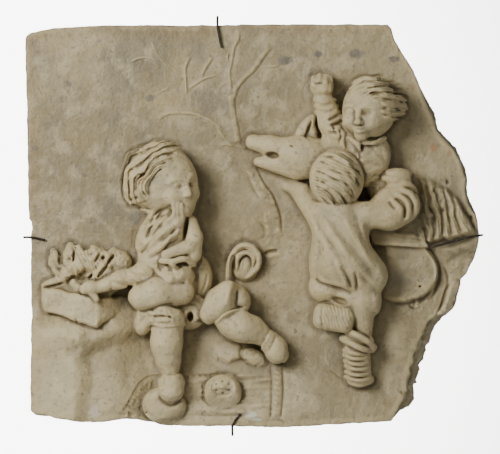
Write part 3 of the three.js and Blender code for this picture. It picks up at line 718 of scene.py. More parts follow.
    # bent leg with the sole towards the viewer, and the straight leg
    b.add(limb((65, -50, 17), 9, (58, -60, 18), 8), k=2.5)
    b.add(slabbox((56.5, -63.4, 18), (14.2, 9.0, 13), -9, 4, 6.5), k=1.2)
    b.add(egg((67, -63, 20), (5, 5.4, 9), 10), k=1.5)
    b.cut(egg((60.5, -51.5, 28), (7, 2.6, 7), -18, back=9), k=2.2)
    b.stroke([(49.5, -54.4), (48, -61), (48.4, -68), (50, -72.6)], 0.7, 1.1)
    sole = oval(b, (56.5, -63.5), (14, 9.5), 0.8)
    ribs = X + 0.12 * Z + 1.5 * np.sin((Z + 63) / 7) + 0.8 * N2(X, Z, 6)
    b.D += 0.28 * sole * np.sin(2 * np.pi * ribs / 2.3)
    b.add(egg((78, -49.5, 18), (11.5, 15, 13), 14), k=3)
    b.add(limb((76, -52, 18), 10.8, (76.8, -72, 17), 6.8), k=2.5)
    b.commit()
    crumple(b, (79, -54), (12, 17), 9, 0.8, lean=-70)
    b.commit()
    b.add(egg((73.4, -79.4, 15), (11.8, 6.4, 11.5), -8), k=1.5)
    b.add(tube([(66, -73, 20), (73, -75.5, 27), (81, -80, 25), (84.5, -84, 18)], 2.3), k=1.6)
    b.add(tube([(62.5, -78, 16), (69, -81.5, 26), (77, -85, 25), (83.5, -86, 16)], 2.2), k=1.6)
    for p in (
        [(63, -75.5), (70, -78.6), (78, -82.6), (84, -86)],
        [(71, -72), (77, -74.6), (82.5, -78.4), (85.5, -82)], [(62, -82), (68, -85), (76, -88)],
    ):
        b.stroke(p, 0.9, 1.0)
    b.commit()
    b.add(limb((73, -86, 13), 8.8, (74.2, -104, 12.5), 8.3), k=1.2)
    b.add(egg((75.2, -107.3, 10), (9.7, 4.0, 10.8)), k=1.5)
    # rolls of the stocking: middle, height and half width
    rolls = ((72.4, -88, 8.2), (72.2, -91.4, 8.4), (72.6, -95.2, 8.2), (73, -98.6, 8),
             (73.4, -102.6, 8.2), (74, -106.2, 9))
    for c, z0, w in rolls:
        left, right = (c - w, z0 + 1.6, 11), (c + w, z0 + 0.6, 11)
        over = [(c - 0.4 * w, z0 - 0.2, 20.6), (c + 0.4 * w, z0 - 0.7, 20.6)]
        b.add(tube([left, *over, right], 1.5), k=1.3)
    for z0, d in ((-89.8, 0.7), (-93.2, 0.9), (-97, 0.7), (-100.8, 0.9), (-104.4, 0.8)):
        b.stroke([(63.8, z0 + 1.4), (70, z0 - 0.6), (77, z0 - 0.9), (82, z0 + 0.4)], 0.7, d)
    b.stroke([(65.5, -109.6), (74, -111), (83, -109)], 0.6, -0.7)
    b.commit()


# ---------------------------------------------------------------- fur and bench
def fur_and_bench(b):
    """Fur hanging over the bench, and the broken rock under it."""
    X, Z = b.X, b.Z
    upper = (
        (92, 40), (105, 41), (115, 38.5), (125, 33.5), (135, 28.5), (145, 18.5), (152, 6),
        (157, -3),
    )
    top = np.interp(X[0], *zip(*upper))[None, :]
    low = np.interp(X[0], [90, 124, 160], [-9, -11, -4])[None, :]
    area = smoothstep(0, 6, top - Z + 1.2 * N2(X, Z, 6)) * smoothstep(-2, 2, Z - low + N2(X, Z, 5))
    area = area * smoothstep(90, 96, X)
    swell = 4.5 + 4.5 * smoothstep(34, 4, Z) - 2.0 * smoothstep(128, 112, X)
    b.f -= (area * swell)[None].astype(np.float32)
    u = X + (0.05 + 0.007 * (X - 112)) * (Z - 22) + 1.8 * N1(X, Z, 15) + 0.7 * N2(X, Z, 6)
    lock = 0.5 + 0.5 * np.sin(2 * np.pi * u / 5.4)
    strong = smoothstep(110, 122, X)
    hairs = 0.6 * np.sin(2 * np.pi * (u + 0.1 * Z) / 1.9) * lock
    b.D += area * strong * (2.3 * (1 - lock) ** 1.6 + hairs)
    b.D += area * 0.5 * N3.rough(X, Z, 4, 2)
    pits(b, ((132, 18), (133, 11), (136.5, 31), (127, 25), (153, 6)), (1.1, 1.6), 2.2)
    b.add(
        raised(
            [(80, -1.0), (104, -4.4), (121, -7.5), (123, -15), (113, -14.6), (82, -12.6)], -4, 9,
            rnd=1.5,
        ),
        k=2,
    )
    b.stroke([(84, -5.2), (104, -7.2), (122, -10.5)], 0.8, 0.5)
    b.stroke([(84, -9), (104, -10.2), (122, -12.6)], 0.7, 0.3)
    b.cut(
        egg((117, -41.8, 6), (0.9, 0.9, 5)), egg((142.6, -12.3, 12), (0.8, 0.7, 2.5), back=2.5),
        k=0.3,
    )
    # rims of the broken rock
    b.strokes(
        ([(119.6, -15.8), (126.6, -24), (128.6, -33), (126.3, -44), (121.8, -51)], 0.9, -1.2),
        ([(121.6, -15.8), (128.6, -24), (130.8, -33), (128.5, -44), (124, -53)], 1.3, 1.4),
        ([(133, -26), (136.6, -35), (136, -46), (131, -60)], 1.2, 1.6),
        ([(144.5, -38), (139, -44), (136, -54), (131, -66)], 3.2, -2.6),
        ([(140.5, -38), (135.6, -44), (132.6, -54), (128, -64)], 0.9, 2.0),
        ([(128, -14.5), (137, -14), (150, -10), (158, -8)], 1.6, 2.0),
    )
    lumps = hill(b, (112.5, -53), (8, 6)) + hill(b, (125, -70), (5, 8))
    lumps = lumps + 0.8 * hill(b, (143, -24), (10, 7))
    b.D -= lumps * 1.5 * N3.rough(X, Z, 6, 4)
    b.D -= 1.2 * hill(b, (112, -52), (8, 5))
    torn_face = smoothstep(10, 3, -polygon_distance(X, Z, OUTLINE)) * smoothstep(98, 112, X)
    torn_face = torn_face * smoothstep(-8, -24, Z)
    b.D += torn_face * (0.9 + 1.1 * np.abs(N3.rough(X, Z, 5, 4)))
    for p in (
        [(105, -49), (110, -51.5), (117, -50.5), (121, -52)],
        [(108, -54), (113, -57.5), (119, -57)], [(111, -48.5), (113.5, -53), (112.5, -58)],
    ):
        b.stroke(p, 0.8, 1.2)
    b.stroke([(103, -115), (106, -117), (109.5, -115.5)], 0.9, 1.6)
    b.stroke([(53, -99.6), (58, -103), (63.3, -107.3)], 0.6, 0.7)
    b.commit()


# ---------------------------------------------------------------- trees
def trees(b):
    """Bare trees in low relief, and the rough trunk below the pig."""
    def branch(points, w, h, taper=0.12):
        b.stroke(points, w, -h, taper=taper)
        b.stroke([(x + 1.0 * w, z - 0.8 * w) for x, z in points], 0.5, 0.6, taper=taper)
        b.stroke([(x - 1.1 * w, z + 0.7 * w) for x, z in points], 0.5, 0.22, taper=taper)
    branch([(-15.4, 93), (-14.2, 82), (-12, 70), (-10.2, 58)], 3.1, 1.5, taper=0.06)
    branch(
        [
            (-15, 92), (-15.8, 101), (-16.4, 109), (-14.6, 118), (-13.2, 126), (-10.5, 131),
            (-9.7, 138),
        ],
        1.6, 1.0,
    )
    branch([(-16.6, 113), (-17.6, 118), (-16.8, 122)], 0.9, 0.6)
    branch(
        [(-13.5, 89), (-11.5, 97), (-5.6, 104.5), (1.2, 111), (6.6, 119), (12.5, 126.5)], 1.9, 1.2,
    )
    branch([(3, 111.5), (11, 111.6), (19, 113)], 1.0, 0.7)
    branch([(-71, 130), (-67.5, 122.5), (-60, 113), (-53, 107), (-49, 103)], 1.4, 0.9)
    branch([(-86, 115.6), (-78, 118.2), (-71, 117.2), (-64.5, 112)], 1.4, 0.9)
    branch([(-44, 119.5), (-47.2, 111), (-46.8, 102), (-46.2, 92.5)], 1.4, 1.0)
    branch([(-28, 119), (-33, 111.5), (-36, 105.5)], 1.4, 0.9)
    branch([(-25.5, 106), (-33, 104), (-39, 100.6), (-45, 96.5)], 1.2, 0.8)
    branch(
        [
            (-67, 75.3), (-61.5, 78.8), (-52, 79.8), (-42, 78.8), (-32.5, 75), (-25, 69.5),
            (-19.5, 62), (-13, 57),
        ],
        1.9, 1.1, taper=0.08,
    )
    branch([(-45, 90.5), (-40.5, 83), (-34, 77.5)], 1.1, 0.4)
    branch([(-65.5, 94), (-60, 95.6), (-55.5, 92.5)], 0.9, 0.5)
    branch([(-23, 58), (-13, 56.4), (-3, 54.6)], 1.5, 0.8)
    b.stroke([(-40, 88), (-32, 90), (-25, 88)], 2.2, 0.25)
    # the trunk goes on below the pig, with rough bark
    X, Z = b.X, b.Z
    mid = np.interp(Z[:, 0], [-6, 8, 22, 40], [15, 13.5, 8.5, -1])[:, None]
    half = np.interp(Z[:, 0], [-6, 40], [6.5, 4.5])[:, None]
    trunk = smoothstep(half + 1, half - 1.5, np.abs(X - mid))
    trunk = trunk * smoothstep(-10, -3, Z) * smoothstep(46, 38, Z)
    b.D -= trunk * (1.1 + 0.5 * N3.rough(X, Z, 4, 2))
    b.stroke([(3, 41), (8.5, 30), (15, 21), (19.5, 8), (20.5, -5)], 0.8, 1.2, taper=0.1)
    b.stroke([(-5, 40), (0, 27), (6, 17), (8.5, 8)], 0.7, 0.6)
    b.stroke([(3, 5), (8, -1), (8.6, -7), (2, -9.5)], 0.9, 0.8)
    b.stroke([(8, -19.4), (12, -17.4), (18, -16.6)], 1.0, 2.6, taper=0.2)
    b.stroke([(10, -21.5), (15, -20), (20, -19)], 1.8, -1.2)
    b.stroke([(26, -6.5), (31, -9), (36.5, -11.5)], 0.7, 0.7)
    b.commit()


# ---------------------------------------------------------------- the seated child
LEFT_HEAD = ((-64, 32, 21), (25, 25, 19))
LEFT_HAIR = [
    (-47, 58), (-51.7, 54.2), (-57.2, 46.6), (-62, 40.2), (-65, 36.4), (-70.4, 31.7), (-71.9, 27),
    (-72.6, 21), (-76, 16), (-90, 14), (-94, 32), (-88, 54), (-70, 62),
]


def seated_child(b):
    """The child at the fire: head, shawl, arms and lap."""
    X, Z = b.X, b.Z
    b.add(egg(*LEFT_HEAD), k=0.8)
    b.add(egg((-51.5, 27, 24), (13.3, 19, 15), 10), k=4)
    b.add(egg((-50, 13, 25), (9, 8, 9.5)), k=4)
    face(b, (-57, 29.5, 21.8), 1.0, 6, 6, 36, cover_mouth=True)
    # trunk under the shawl
    b.add(egg((-61, -13, 15), (19.5, 25, 16.5), -6), k=3)
    b.add(egg((-59.5, -1, 22), (13, 13, 14), -15), k=4)
    # hair
    locks(b, [
        [(-52, 54), (-62, 55.4), (-71, 53.4), (-78.5, 48)],
        [(-51, 50.5), (-61, 51.6), (-72, 48.5), (-81.5, 41.5)],
        [(-54, 47), (-64, 46.6), (-73, 42.5), (-79.5, 35.5)],
        [(-58.5, 43), (-66, 41.6), (-72.5, 36.6), (-76.5, 30)],
        [(-64, 38), (-69, 36), (-73, 31), (-73.5, 25)],
        [(-82.5, 44.5), (-86, 37), (-86.4, 29), (-84, 22)],
        [(-81, 41), (-84, 33), (-82, 26), (-76, 24.5)],
        [(-86, 24), (-84.5, 19), (-79.5, 17.5), (-73.5, 16)],
        [(-82.5, 27), (-79.5, 21.5), (-74, 21), (-71.5, 17)],
        [(-72, 34), (-76.5, 28), (-75.5, 20.5)],
    ], 3.0, k=1.6, sink=0.5)
    b.rope(
        [(-68, 35), (-73, 33.8), (-76, 30), (-77.2, 24.5), (-83, 22), (-86, 18.4)], 2.3, sink=0.1,
        k=1.0,
    )
    b.rope([(-72.6, 19.6), (-76.5, 19.4), (-81, 16.6), (-85, 18)], 1.8, sink=0.2, k=0.9)
    hair = smoothstep(1.0, -1.6, polygon_distance(X, Z, LEFT_HAIR))
    u = np.hypot(X + 56, Z - 26) + 2.4 * N1(X, Z, 12) + 1.3 * N2(X, Z, 6)
    b.D -= 1.2 * hair
    strands(b, hair, u, 5.0, 2.2, 1.9)
    b.D += hair * 0.9 * N3.rough(X, Z, 5.5, 2)
    b.cut(
        egg((-76.8, 33.6, 36), (1.7, 3.8, 3), -42, back=3),
        egg((-56.8, 49, 37), (3.2, 1.2, 3), 25, back=3), k=1.2,
    )
    b.cut(egg((-74.2, 22.6, 32), (1.1, 2.4, 4), -20, back=5), k=0.8)
    b.stroke([(-84, 15.4), (-77, 13.5), (-69, 11.4)], 1.3, 2.2)
    b.commit()
    # hand over the mouth, fingers upwards, wrapped in the shawl
    for i, x in enumerate((-54.6, -51.9, -49.2)):
        b.add(limb((x + 0.3, 4, 33.5 - i), 2.1, (x, 17.5 - 1.2 * i, 38.0 - 0.6 * i), 1.6), k=0.5)
    b.add(egg((-53, 3, 29), (6, 7, 7)), k=2.5)
    # shawl folds sweep up to the hand
    b.strokes(
        ([(-79, -4), (-70, 4), (-60, 8), (-54, 12)], 1.6, 1.0),
        ([(-81, -12), (-71, -5), (-60, 1), (-52, 6)], 1.7, 1.1),
        ([(-80, -20), (-70, -14), (-60, -7), (-50, 0)], 1.6, 1.2),
        ([(-75, -23), (-66, -19), (-57, -13), (-49.5, -6)], 1.4, 1.1),
        ([(-70, 9), (-63, 11.5), (-57, 12.5)], 1.3, 0.9),
        ([(-73, -1), (-66, 1), (-62, -2)], 2.0, 1.2),
        ([(-77, -10), (-77.5, -18), (-75, -26)], 1.6, 0.9),
        ([(-64, -12), (-57, -6), (-51, 1)], 0.9, 0.8),
    )
    b.strokes(
        ([(-80, -8), (-70, 0), (-60, 5), (-53, 9)], 1.8, -0.9),
        ([(-81, -16), (-70, -9), (-60, -3), (-50.5, 3)], 1.8, -1.0),
        ([(-78, -22), (-67, -16.5), (-58, -10), (-49.5, -3)], 1.6, -0.9),
        ([(-68.5, 10), (-77, 1), (-81, -10), (-83, -24)], 1.5, -1.2),
    )
    b.strokes(
        ([(-56, 15), (-62, 11), (-69, 2), (-74, -8)], 1.0, 1.5),
        ([(-59.5, 15.5), (-67, 8.5), (-73.5, -2)], 0.9, 1.2),
        ([(-55, 11), (-59, 6), (-66, -2), (-74, -12)], 1.0, 1.6),
        ([(-64, -3), (-72, -12), (-78, -19)], 1.1, 1.4),
        ([(-82, 0), (-84, -10), (-82, -20)], 1.0, 1.0),
    )
    crumple(b, (-68, -6), (15, 19), 6.5, 1.6, lean=38)
    b.commit()
    # the other arm: upper arm hanging, bare forearm laid across
    b.add(*chain([(-43.5, 2.5, 22), (-40.8, -8, 25), (-41.5, -19, 25)], (5.4, 6.3, 6.2)), k=1.5)
    b.add(limb((-44, -14, 29), 5.2, (-60, -19.6, 33.5), 3.2), k=1.6)
    b.cut(egg((-46.4, -1.5, 31), (1.6, 8, 6), -8, back=14), k=1.2)
    b.add(tube([(-41, -26, 27), (-47, -22.5, 33), (-56, -24.5, 35), (-63, -24, 32)], 2.1), k=1.4)
    # crumpled shirt over the lap
    b.add(egg((-56, -34, 21), (15.5, 11, 14)), k=4)
    b.add(egg((-74, -31, 20), (10, 8, 11), 20), k=4)
    b.add(egg((-38, -36, 8), (10, 16, 9)), k=3)
    b.strokes(
        ([(-66, -25), (-62, -32), (-57, -37)], 1.5, 1.4),
        ([(-60, -25), (-55, -31), (-49, -34)], 1.4, 1.3),
        ([(-72, -27), (-68, -33), (-61, -38)], 1.5, 1.3),
        ([(-52, -25.5), (-47, -31), (-44, -38)], 1.4, 1.3),
        ([(-80, -29), (-76, -34), (-68, -37.5)], 1.5, 1.1),
        ([(-49, -38), (-46, -43), (-45, -48)], 1.3, 1.2),
        ([(-57, -40), (-51, -42), (-47, -47)], 1.2, 1.0),
    )
    for p in (
        [(-68, -29), (-62, -35.5), (-54, -39)], [(-58, -26), (-52, -33), (-46.5, -38)],
        [(-64, -28), (-59, -34.5), (-53, -36)], [(-50, -28), (-46, -34), (-43.5, -42)],
        [(-76, -29), (-71, -35), (-63, -39.5)],
    ):
        b.stroke(p, 1.6, -1.1)
    crumple(b, (-62, -32.5), (20, 7.5), 5.0, 1.8, lean=-38)
    crumple(b, (-38, -38), (9, 12), 6, 0.9, lean=70)
    b.lap([(-79, -39), (-70, -38.4), (-60, -40), (-52, -42.5), (-46.5, -48)], 2.2, 1.5)
    b.commit()
    # arm stretched to the fire
    b.add(*chain([(-74, -33, 24), (-92, -37, 24), (-106, -42, 22)], (7, 6, 4.2)), k=2.5)
    for p in (
        [(-92, -33), (-86, -37), (-78, -39.5)], [(-89, -31.8), (-83, -35.5), (-76, -37)],
        [(-97, -36.5), (-91, -39.8), (-82, -41.5)], [(-84, -30.5), (-79, -33.5), (-73, -34.5)],
    ):
        b.stroke(p, 1.2, 1.0)
    b.stroke([(-99, -37), (-97.5, -41), (-99, -44.5)], 1.3, 0.9)
    crumple(b, (-88, -36.5), (13, 6), 5.0, 1.5, lean=-18)
    b.commit()
    b.add(egg((-112.5, -42.5, 22), (6.2, 5.2, 5.4), -10), k=1.6)
    for x, z in ((-117.5, -43.8), (-121.8, -42.2), (-124.3, -39.6)):
        b.add(egg((x, z, 22), (2.7, 3.2, 3.4), 10, back=12), k=0.9)
    b.add(limb((-112, -45, 23), 2.6, (-108.5, -50.5, 22.5), 2.2), k=1.0)


def seated_legs(b):
    """The seated child's legs, the cloth between them and the mound."""
    X, Z = b.X, b.Z
    # hanging cloth between the legs, gathered round a drill hole
    b.add(egg((-44, -60, 8), (12, 12, 9)), k=3)
    for r in (6, 9.5, 13, 16.5):
        turns = [math.radians(a) for a in (165, 130, 95, 60, 25)]
        ring = [(-45 + r * math.cos(a), -67 + 1.15 * r * math.sin(a), 19.5 - 0.3 * r) for a in turns]
        b.add(tube(ring, 1.9), k=1.2)
    b.cut(egg((-43.4, -63, 22), (2.6, 4, 14), back=16), k=0.8)
    # left leg: bare knee, turned-up cuff, shin and boot
    b.add(*chain([(-50, -45, 23), (-66, -46.5, 28), (-77, -49.5, 28)], (9.5, 11.4, 9.4)), k=2)
    b.add(egg((-75.5, -55, 20), (8.8, 6.5, 11), -30), k=2)
    b.stroke([(-86.5, -51.5), (-82, -57.5), (-73, -58.5), (-63, -54.5), (-52, -52.6)], 1.3, 1.7)
    b.commit()
    b.add(egg((-75.8, -66, 16), (6.2, 10, 10), -12), k=3.0)
    b.stroke([(-79, -60), (-77, -67), (-77.5, -74)], 1.0, 1.0)
    b.add(egg((-62, -62, 20), (15, 8, 13.5), -3), k=2.0)
    for p in (
        [(-76, -66, 18), (-71, -59.5, 28), (-62, -57.4, 33), (-52, -60, 28)],
        [(-75, -69.5, 18), (-68, -65, 30), (-58, -64.4, 33.4), (-48, -67.6, 24)],
        [(-74, -62, 24), (-66, -60.6, 33), (-56, -61.4, 33), (-49, -64, 26)],
    ):
        b.add(tube(p, 1.7), k=2.6)
    for p, d in (
        ([(-75, -63.5), (-68, -62.2), (-58, -62.6), (-50, -65.4)], 1.0),
        ([(-72, -58.6), (-66, -57.6), (-60, -59.6)], 0.8),
        ([(-79.5, -71), (-77, -65), (-74, -61)], 0.9),
        ([(-70, -57), (-67, -63), (-68.5, -68)], 0.8),
        ([(-60, -57), (-57, -63), (-57.5, -68)], 0.7),
    ):
        b.stroke(p, 1.0, d)
    crumple(b, (-63, -62), (16, 8), 6.5, 0.8, lean=12)
    b.commit()
    b.add(
        *chain(
            [(-59.2, -71, 21), (-59.8, -81, 22), (-58.6, -92, 20), (-57.4, -99.5, 18.5)],
            (11.2, 11.0, 8.6, 6.9),
        ),
        k=2.4,
    )
    b.lap([(-47.6, -68.6), (-54, -69.6), (-63, -70.4), (-71, -67.6)], 2.2, -1.6, lip=0.2)
    b.stroke([(-64, -94), (-61.5, -97.6), (-56, -98.6)], 0.9, 0.6)
    b.stroke([(-50, -95), (-54, -97.5), (-58, -97)], 0.8, 0.5)
    b.commit()
    b.add(egg((-61.5, -124.6, 12), (15.5, 13, 10.5)), k=2.0)
    b.D += 1.4 * oval(b, (-61.5, -124.6), (15.5, 13), 0.7) * N3.rough(X, Z, 10, 4)
    b.stroke([(-76, -120), (-73, -130), (-63, -135.5), (-52, -133)], 1.6, 0.9)
    b.commit()
    b.add(egg((-56.4, -109, 18), (9.4, 8.6, 11)), k=1.2)
    b.lap([(-48, -101.8), (-54, -103.8), (-60, -104.2), (-66, -105.6)], 1.8, 1.3, lip=0.3)
    b.add(egg((-57, -114.6, 20), (9.0, 8.2, 9.6)), k=1.5)
    b.D += 0.5 * oval(b, (-57, -113), (10, 11), 0.6) * N3.rough(X, Z, 6, 3)
    b.stroke(
        [(-64.5, -112), (-61.5, -116.5), (-56, -118.6), (-50.6, -116.5), (-47.8, -112)], 0.9, -0.5,
    )
    b.cut(egg((-56, -121, 29.4), (1.6, 1.2, 1.6), back=2), k=0.4)
    b.stroke([(-65.5, -118), (-61, -123.4), (-55, -124.6), (-49, -120.5)], 1.4, 1.7)
    b.commit()
    # right leg: faceted breeches, bare calf, boot
    b.add(limb((-17, -45, 26), 7.5, (-30, -61, 25), 6.5), k=3)
    b.add(egg((-21, -54, 22), (12.5, 14.5, 13.5), -25), k=2)
    b.add(egg((-9, -50, 18), (7, 10, 10), 25), k=2.2)
    b.stroke([(-14, -38), (-16.5, -46), (-17.5, -55)], 2.0, -2.2)
    b.stroke([(-11.5, -42), (-11, -49), (-12.4, -56)], 1.8, 1.8)
    b.stroke([(-30, -50), (-34, -57), (-33, -64), (-29, -69)], 1.6, -1.4)
    b.stroke([(-20, -46), (-25, -54), (-27, -62)], 2.2, 0.8)
    b.commit()
    b.add(egg((-9.5, -69.0, 21), (17.5, 11.2, 13), -22), k=1.0)
    b.lap([(-3, -56.5), (-10, -57.2), (-19, -60.5), (-27, -67.8)], 2.4, 1.8, lip=0.7)
    b.add(limb((0, -71.5, 20), 9.6, (9.5, -78, 18), 6.5), k=2)
    b.stroke([(-18, -62), (-12, -66), (-8, -73)], 2.4, 0.5)
    crumple(b, (-16, -62), (15, 13), 9, 0.7, lean=-35)
    b.commit()
    b.add(egg((16.8, -86, 15), (8.6, 10.6, 11), 22), k=1.2)
    b.add(limb((11.5, -79.8, 17), 7.6, (15.5, -84, 16), 8.2), k=1.0)
    b.lap([(13, -72.4), (10.4, -77), (7.6, -82), (5.6, -86.4)], 1.6, 1.6, lip=0.6)
    b.stroke([(17, -76), (14.4, -80.5), (11.8, -85.5), (8.6, -89)], 0.8, 1.3)
    b.stroke([(24.6, -82), (24.4, -88), (20.4, -95), (14.5, -95.5)], 0.8, 1.0)
    b.commit()


def stones(b):
    """Two low stones between the boots."""
    b.add(
        raised(
            [(-27, -82), (-18, -79.5), (-8, -83), (-9, -92), (-17, -95), (-26, -91)], -4, 6.5,
            rnd=3, slope=(0.1, -0.25), about=(-18, -87),
        ),
        k=3,
    )
    b.add(egg((1.5, -91.5, 5), (10, 6.2, 5.5), -25), k=2)
    X, Z = b.X, b.Z
    b.D += 0.8 * oval(b, (1.5, -91.5), (10, 6.5), 0.7, outer=1.1) * np.abs(N3.rough(X, Z, 3.5, 2))
    b.commit()


def curled_cloth(b):
    """Cloth curled up beside the lap."""
    b.add(egg((-5, -27, 1), (10, 11.5, 7.5)), k=2)
    for pts, r in (
        (
            [
                (-17.5, -38, 6), (-15.5, -24, 8.5), (-9, -14.5, 9), (-1, -14.5, 9), (4, -21, 8.5),
                (3, -29, 7), (-4, -36, 6),
            ],
            2.5,
        ),
        ([(-11, -30, 7), (-10, -22, 9), (-5, -18.5, 9.6), (0, -21.5, 9), (0, -28, 8)], 2.0),
    ):
        b.add(tube(pts, r, ends=0.4), k=1.1)
    b.cut(egg((-13.4, -27, 12), (2.0, 7, 8), 5, back=9), k=1.0)
    b.stroke([(-4, -33), (-1, -27), (-4, -22)], 1.0, 0.8)
    b.stroke(
        [(-15.8, -34), (-14.4, -24), (-8.5, -16), (-1.5, -15.5), (2.8, -21), (2, -29)], 0.8, 0.9,
    )
    b.stroke([(-8.6, -33), (-8.6, -24), (-4.4, -20), (-0.6, -23), (-1.4, -29)], 0.8, 0.8)
    b.stroke([(-8, -32), (-6, -26), (-6, -22)], 0.9, 0.7)


# ---------------------------------------------------------------- fire box
def fire(b):
    """The fire box with its logs and flames."""
    X, Z = b.X, b.Z

    def boxed(x, z, h):
        slope = 0.27 * (x + 147)
        right = np.where(x > -108, 0.34 * (x + 108), 0)
        upper = z - (-42.5 - slope * 0.62 + right * 0.6)
        lower = -(z - (-60.2 - slope + right * 2.6))
        front = np.where(x < -108, h - (12 + 0.23 * (x + 147)), h - (21 - 0.95 * (x + 108)))
        side = soft_max(soft_max(upper, lower, 3.0), -(x + 147), 3.0)
        return soft_max(side, front, 3.6)
    b.add((np.array([-149, -76, -4.0]), np.array([-86, -34, 24.0]), boxed), k=1.5)
    b.add(
        raised(
            [
                (-145, -52), (-145, -39), (-130, -31), (-112, -27), (-90, -30), (-92, -44),
                (-105, -52),
            ],
            -4, 9, rnd=3, slope=(0.03, -0.12), about=(-118, -40),
        ),
        k=3,
    )
    box = smoothstep(-88, -96, X) * smoothstep(-34, -40, Z) * smoothstep(-78, -70, Z)
    box = box * smoothstep(-150, -146, X)
    b.D += box * (0.8 * N3.rough(X, Z, 11, 4) + 0.5 * np.abs(N1.rough(X, Z, 5, 2)))
    b.stroke([(-110.5, -52), (-109, -60), (-110.5, -68)], 1.6, 0.9)
    b.stroke([(-138, -47), (-134, -52), (-136, -57)], 1.4, 0.7)
    b.commit()
    # logs and flames
    for p, r in (
        ([(-139.5, -17, 3), (-137, -22, 5), (-134, -33, 6)], 2.4),
        ([(-140.5, -22, 3), (-137, -30, 6), (-131.5, -38, 8)], 2.6),
        ([(-127, -13.5, 5), (-128.5, -22, 8), (-130.5, -34, 9)], 3.4),
        ([(-121, -15.5, 7), (-123, -24, 11), (-131, -34.5, 11)], 3.6),
        ([(-114, -20, 9), (-120, -27, 13), (-130, -34, 12)], 4.0),
        ([(-111, -16, 7), (-110.5, -21, 10), (-114, -28, 11)], 4.2),
        ([(-105.5, -16.5, 6), (-109, -23, 11), (-113.5, -33, 12)], 2.6),
        ([(-97, -16.5, 6), (-103, -25, 12), (-111, -36, 14)], 2.6),
        ([(-93.5, -19, 6), (-99.5, -28, 11), (-107, -36.5, 14)], 2.3),
        ([(-145.5, -41, 7), (-138, -38.4, 9), (-131, -37.4, 9)], 2.2),
    ):
        b.add(tube(p, 1.2 * r, ends=0.7), k=2.4)
    for c, r, t in (
        ((-123, -31, 5), (14, 8, 7), 0), ((-108, -26, 5), (9, 8, 7), 0),
        ((-135, -28, 3), (7, 8, 4), 20), ((-116, -24, 8), (4, 5, 6), 20),
        ((-101, -33, 8), (7, 5, 7), 30),
    ):
        b.add(egg(c, r, t), k=2.5)
    flames = oval(b, (-117, -27), (30, 14), 0.6)
    bent = X + 0.55 * Z + 2.5 * N1(X, Z, 8)
    tongues = 0.8 * np.abs(np.sin(np.pi * bent / 7.5)) ** 3
    b.D += flames * (tongues + 1.1 * N3.rough(X, Z, 5, 3) + 0.3 * np.sin(2 * np.pi * bent / 2.1))
    b.commit()
    b.add(egg((-92.6, -26, 5), (8.4, 9.4, 7.5), -10), k=2)
    for c, r, t in (
        ((-134.2, -22.5, 10), (1.9, 4.8, 6), -8), ((-124.6, -19.5, 13), (0.9, 5.5, 5), -4),
        ((-117, -32, 18), (2.0, 2.6, 5), -50), ((-107.2, -20.5, 16), (1.3, 6, 7), -32),
        ((-103.8, -30.5, 16), (1.4, 6.5, 6), -40), ((-98.4, -22, 14), (1.2, 6, 5), -34),
        ((-126, -37, 16), (4, 1.6, 4), -25),
    ):
        b.cut(egg(c, r, t, back=5), k=1.0)
    boss = oval(b, (-92.5, -26), (8.2, 9.2), 0.7)
    b.D += boss * 0.9 * np.abs(N3.rough(X, Z, 2.6, 2))
    b.stroke([(-147, -42.6), (-139, -41.2), (-130.5, -38.8)], 0.8, 1.8)
    b.stroke([(-147, -60.6), (-136, -61.6), (-124, -66.5), (-117, -69.6)], 0.7, 1.4)
    b.stroke([(-123.5, -64), (-121.5, -67)], 0.7, 1.2)
    b.commit()


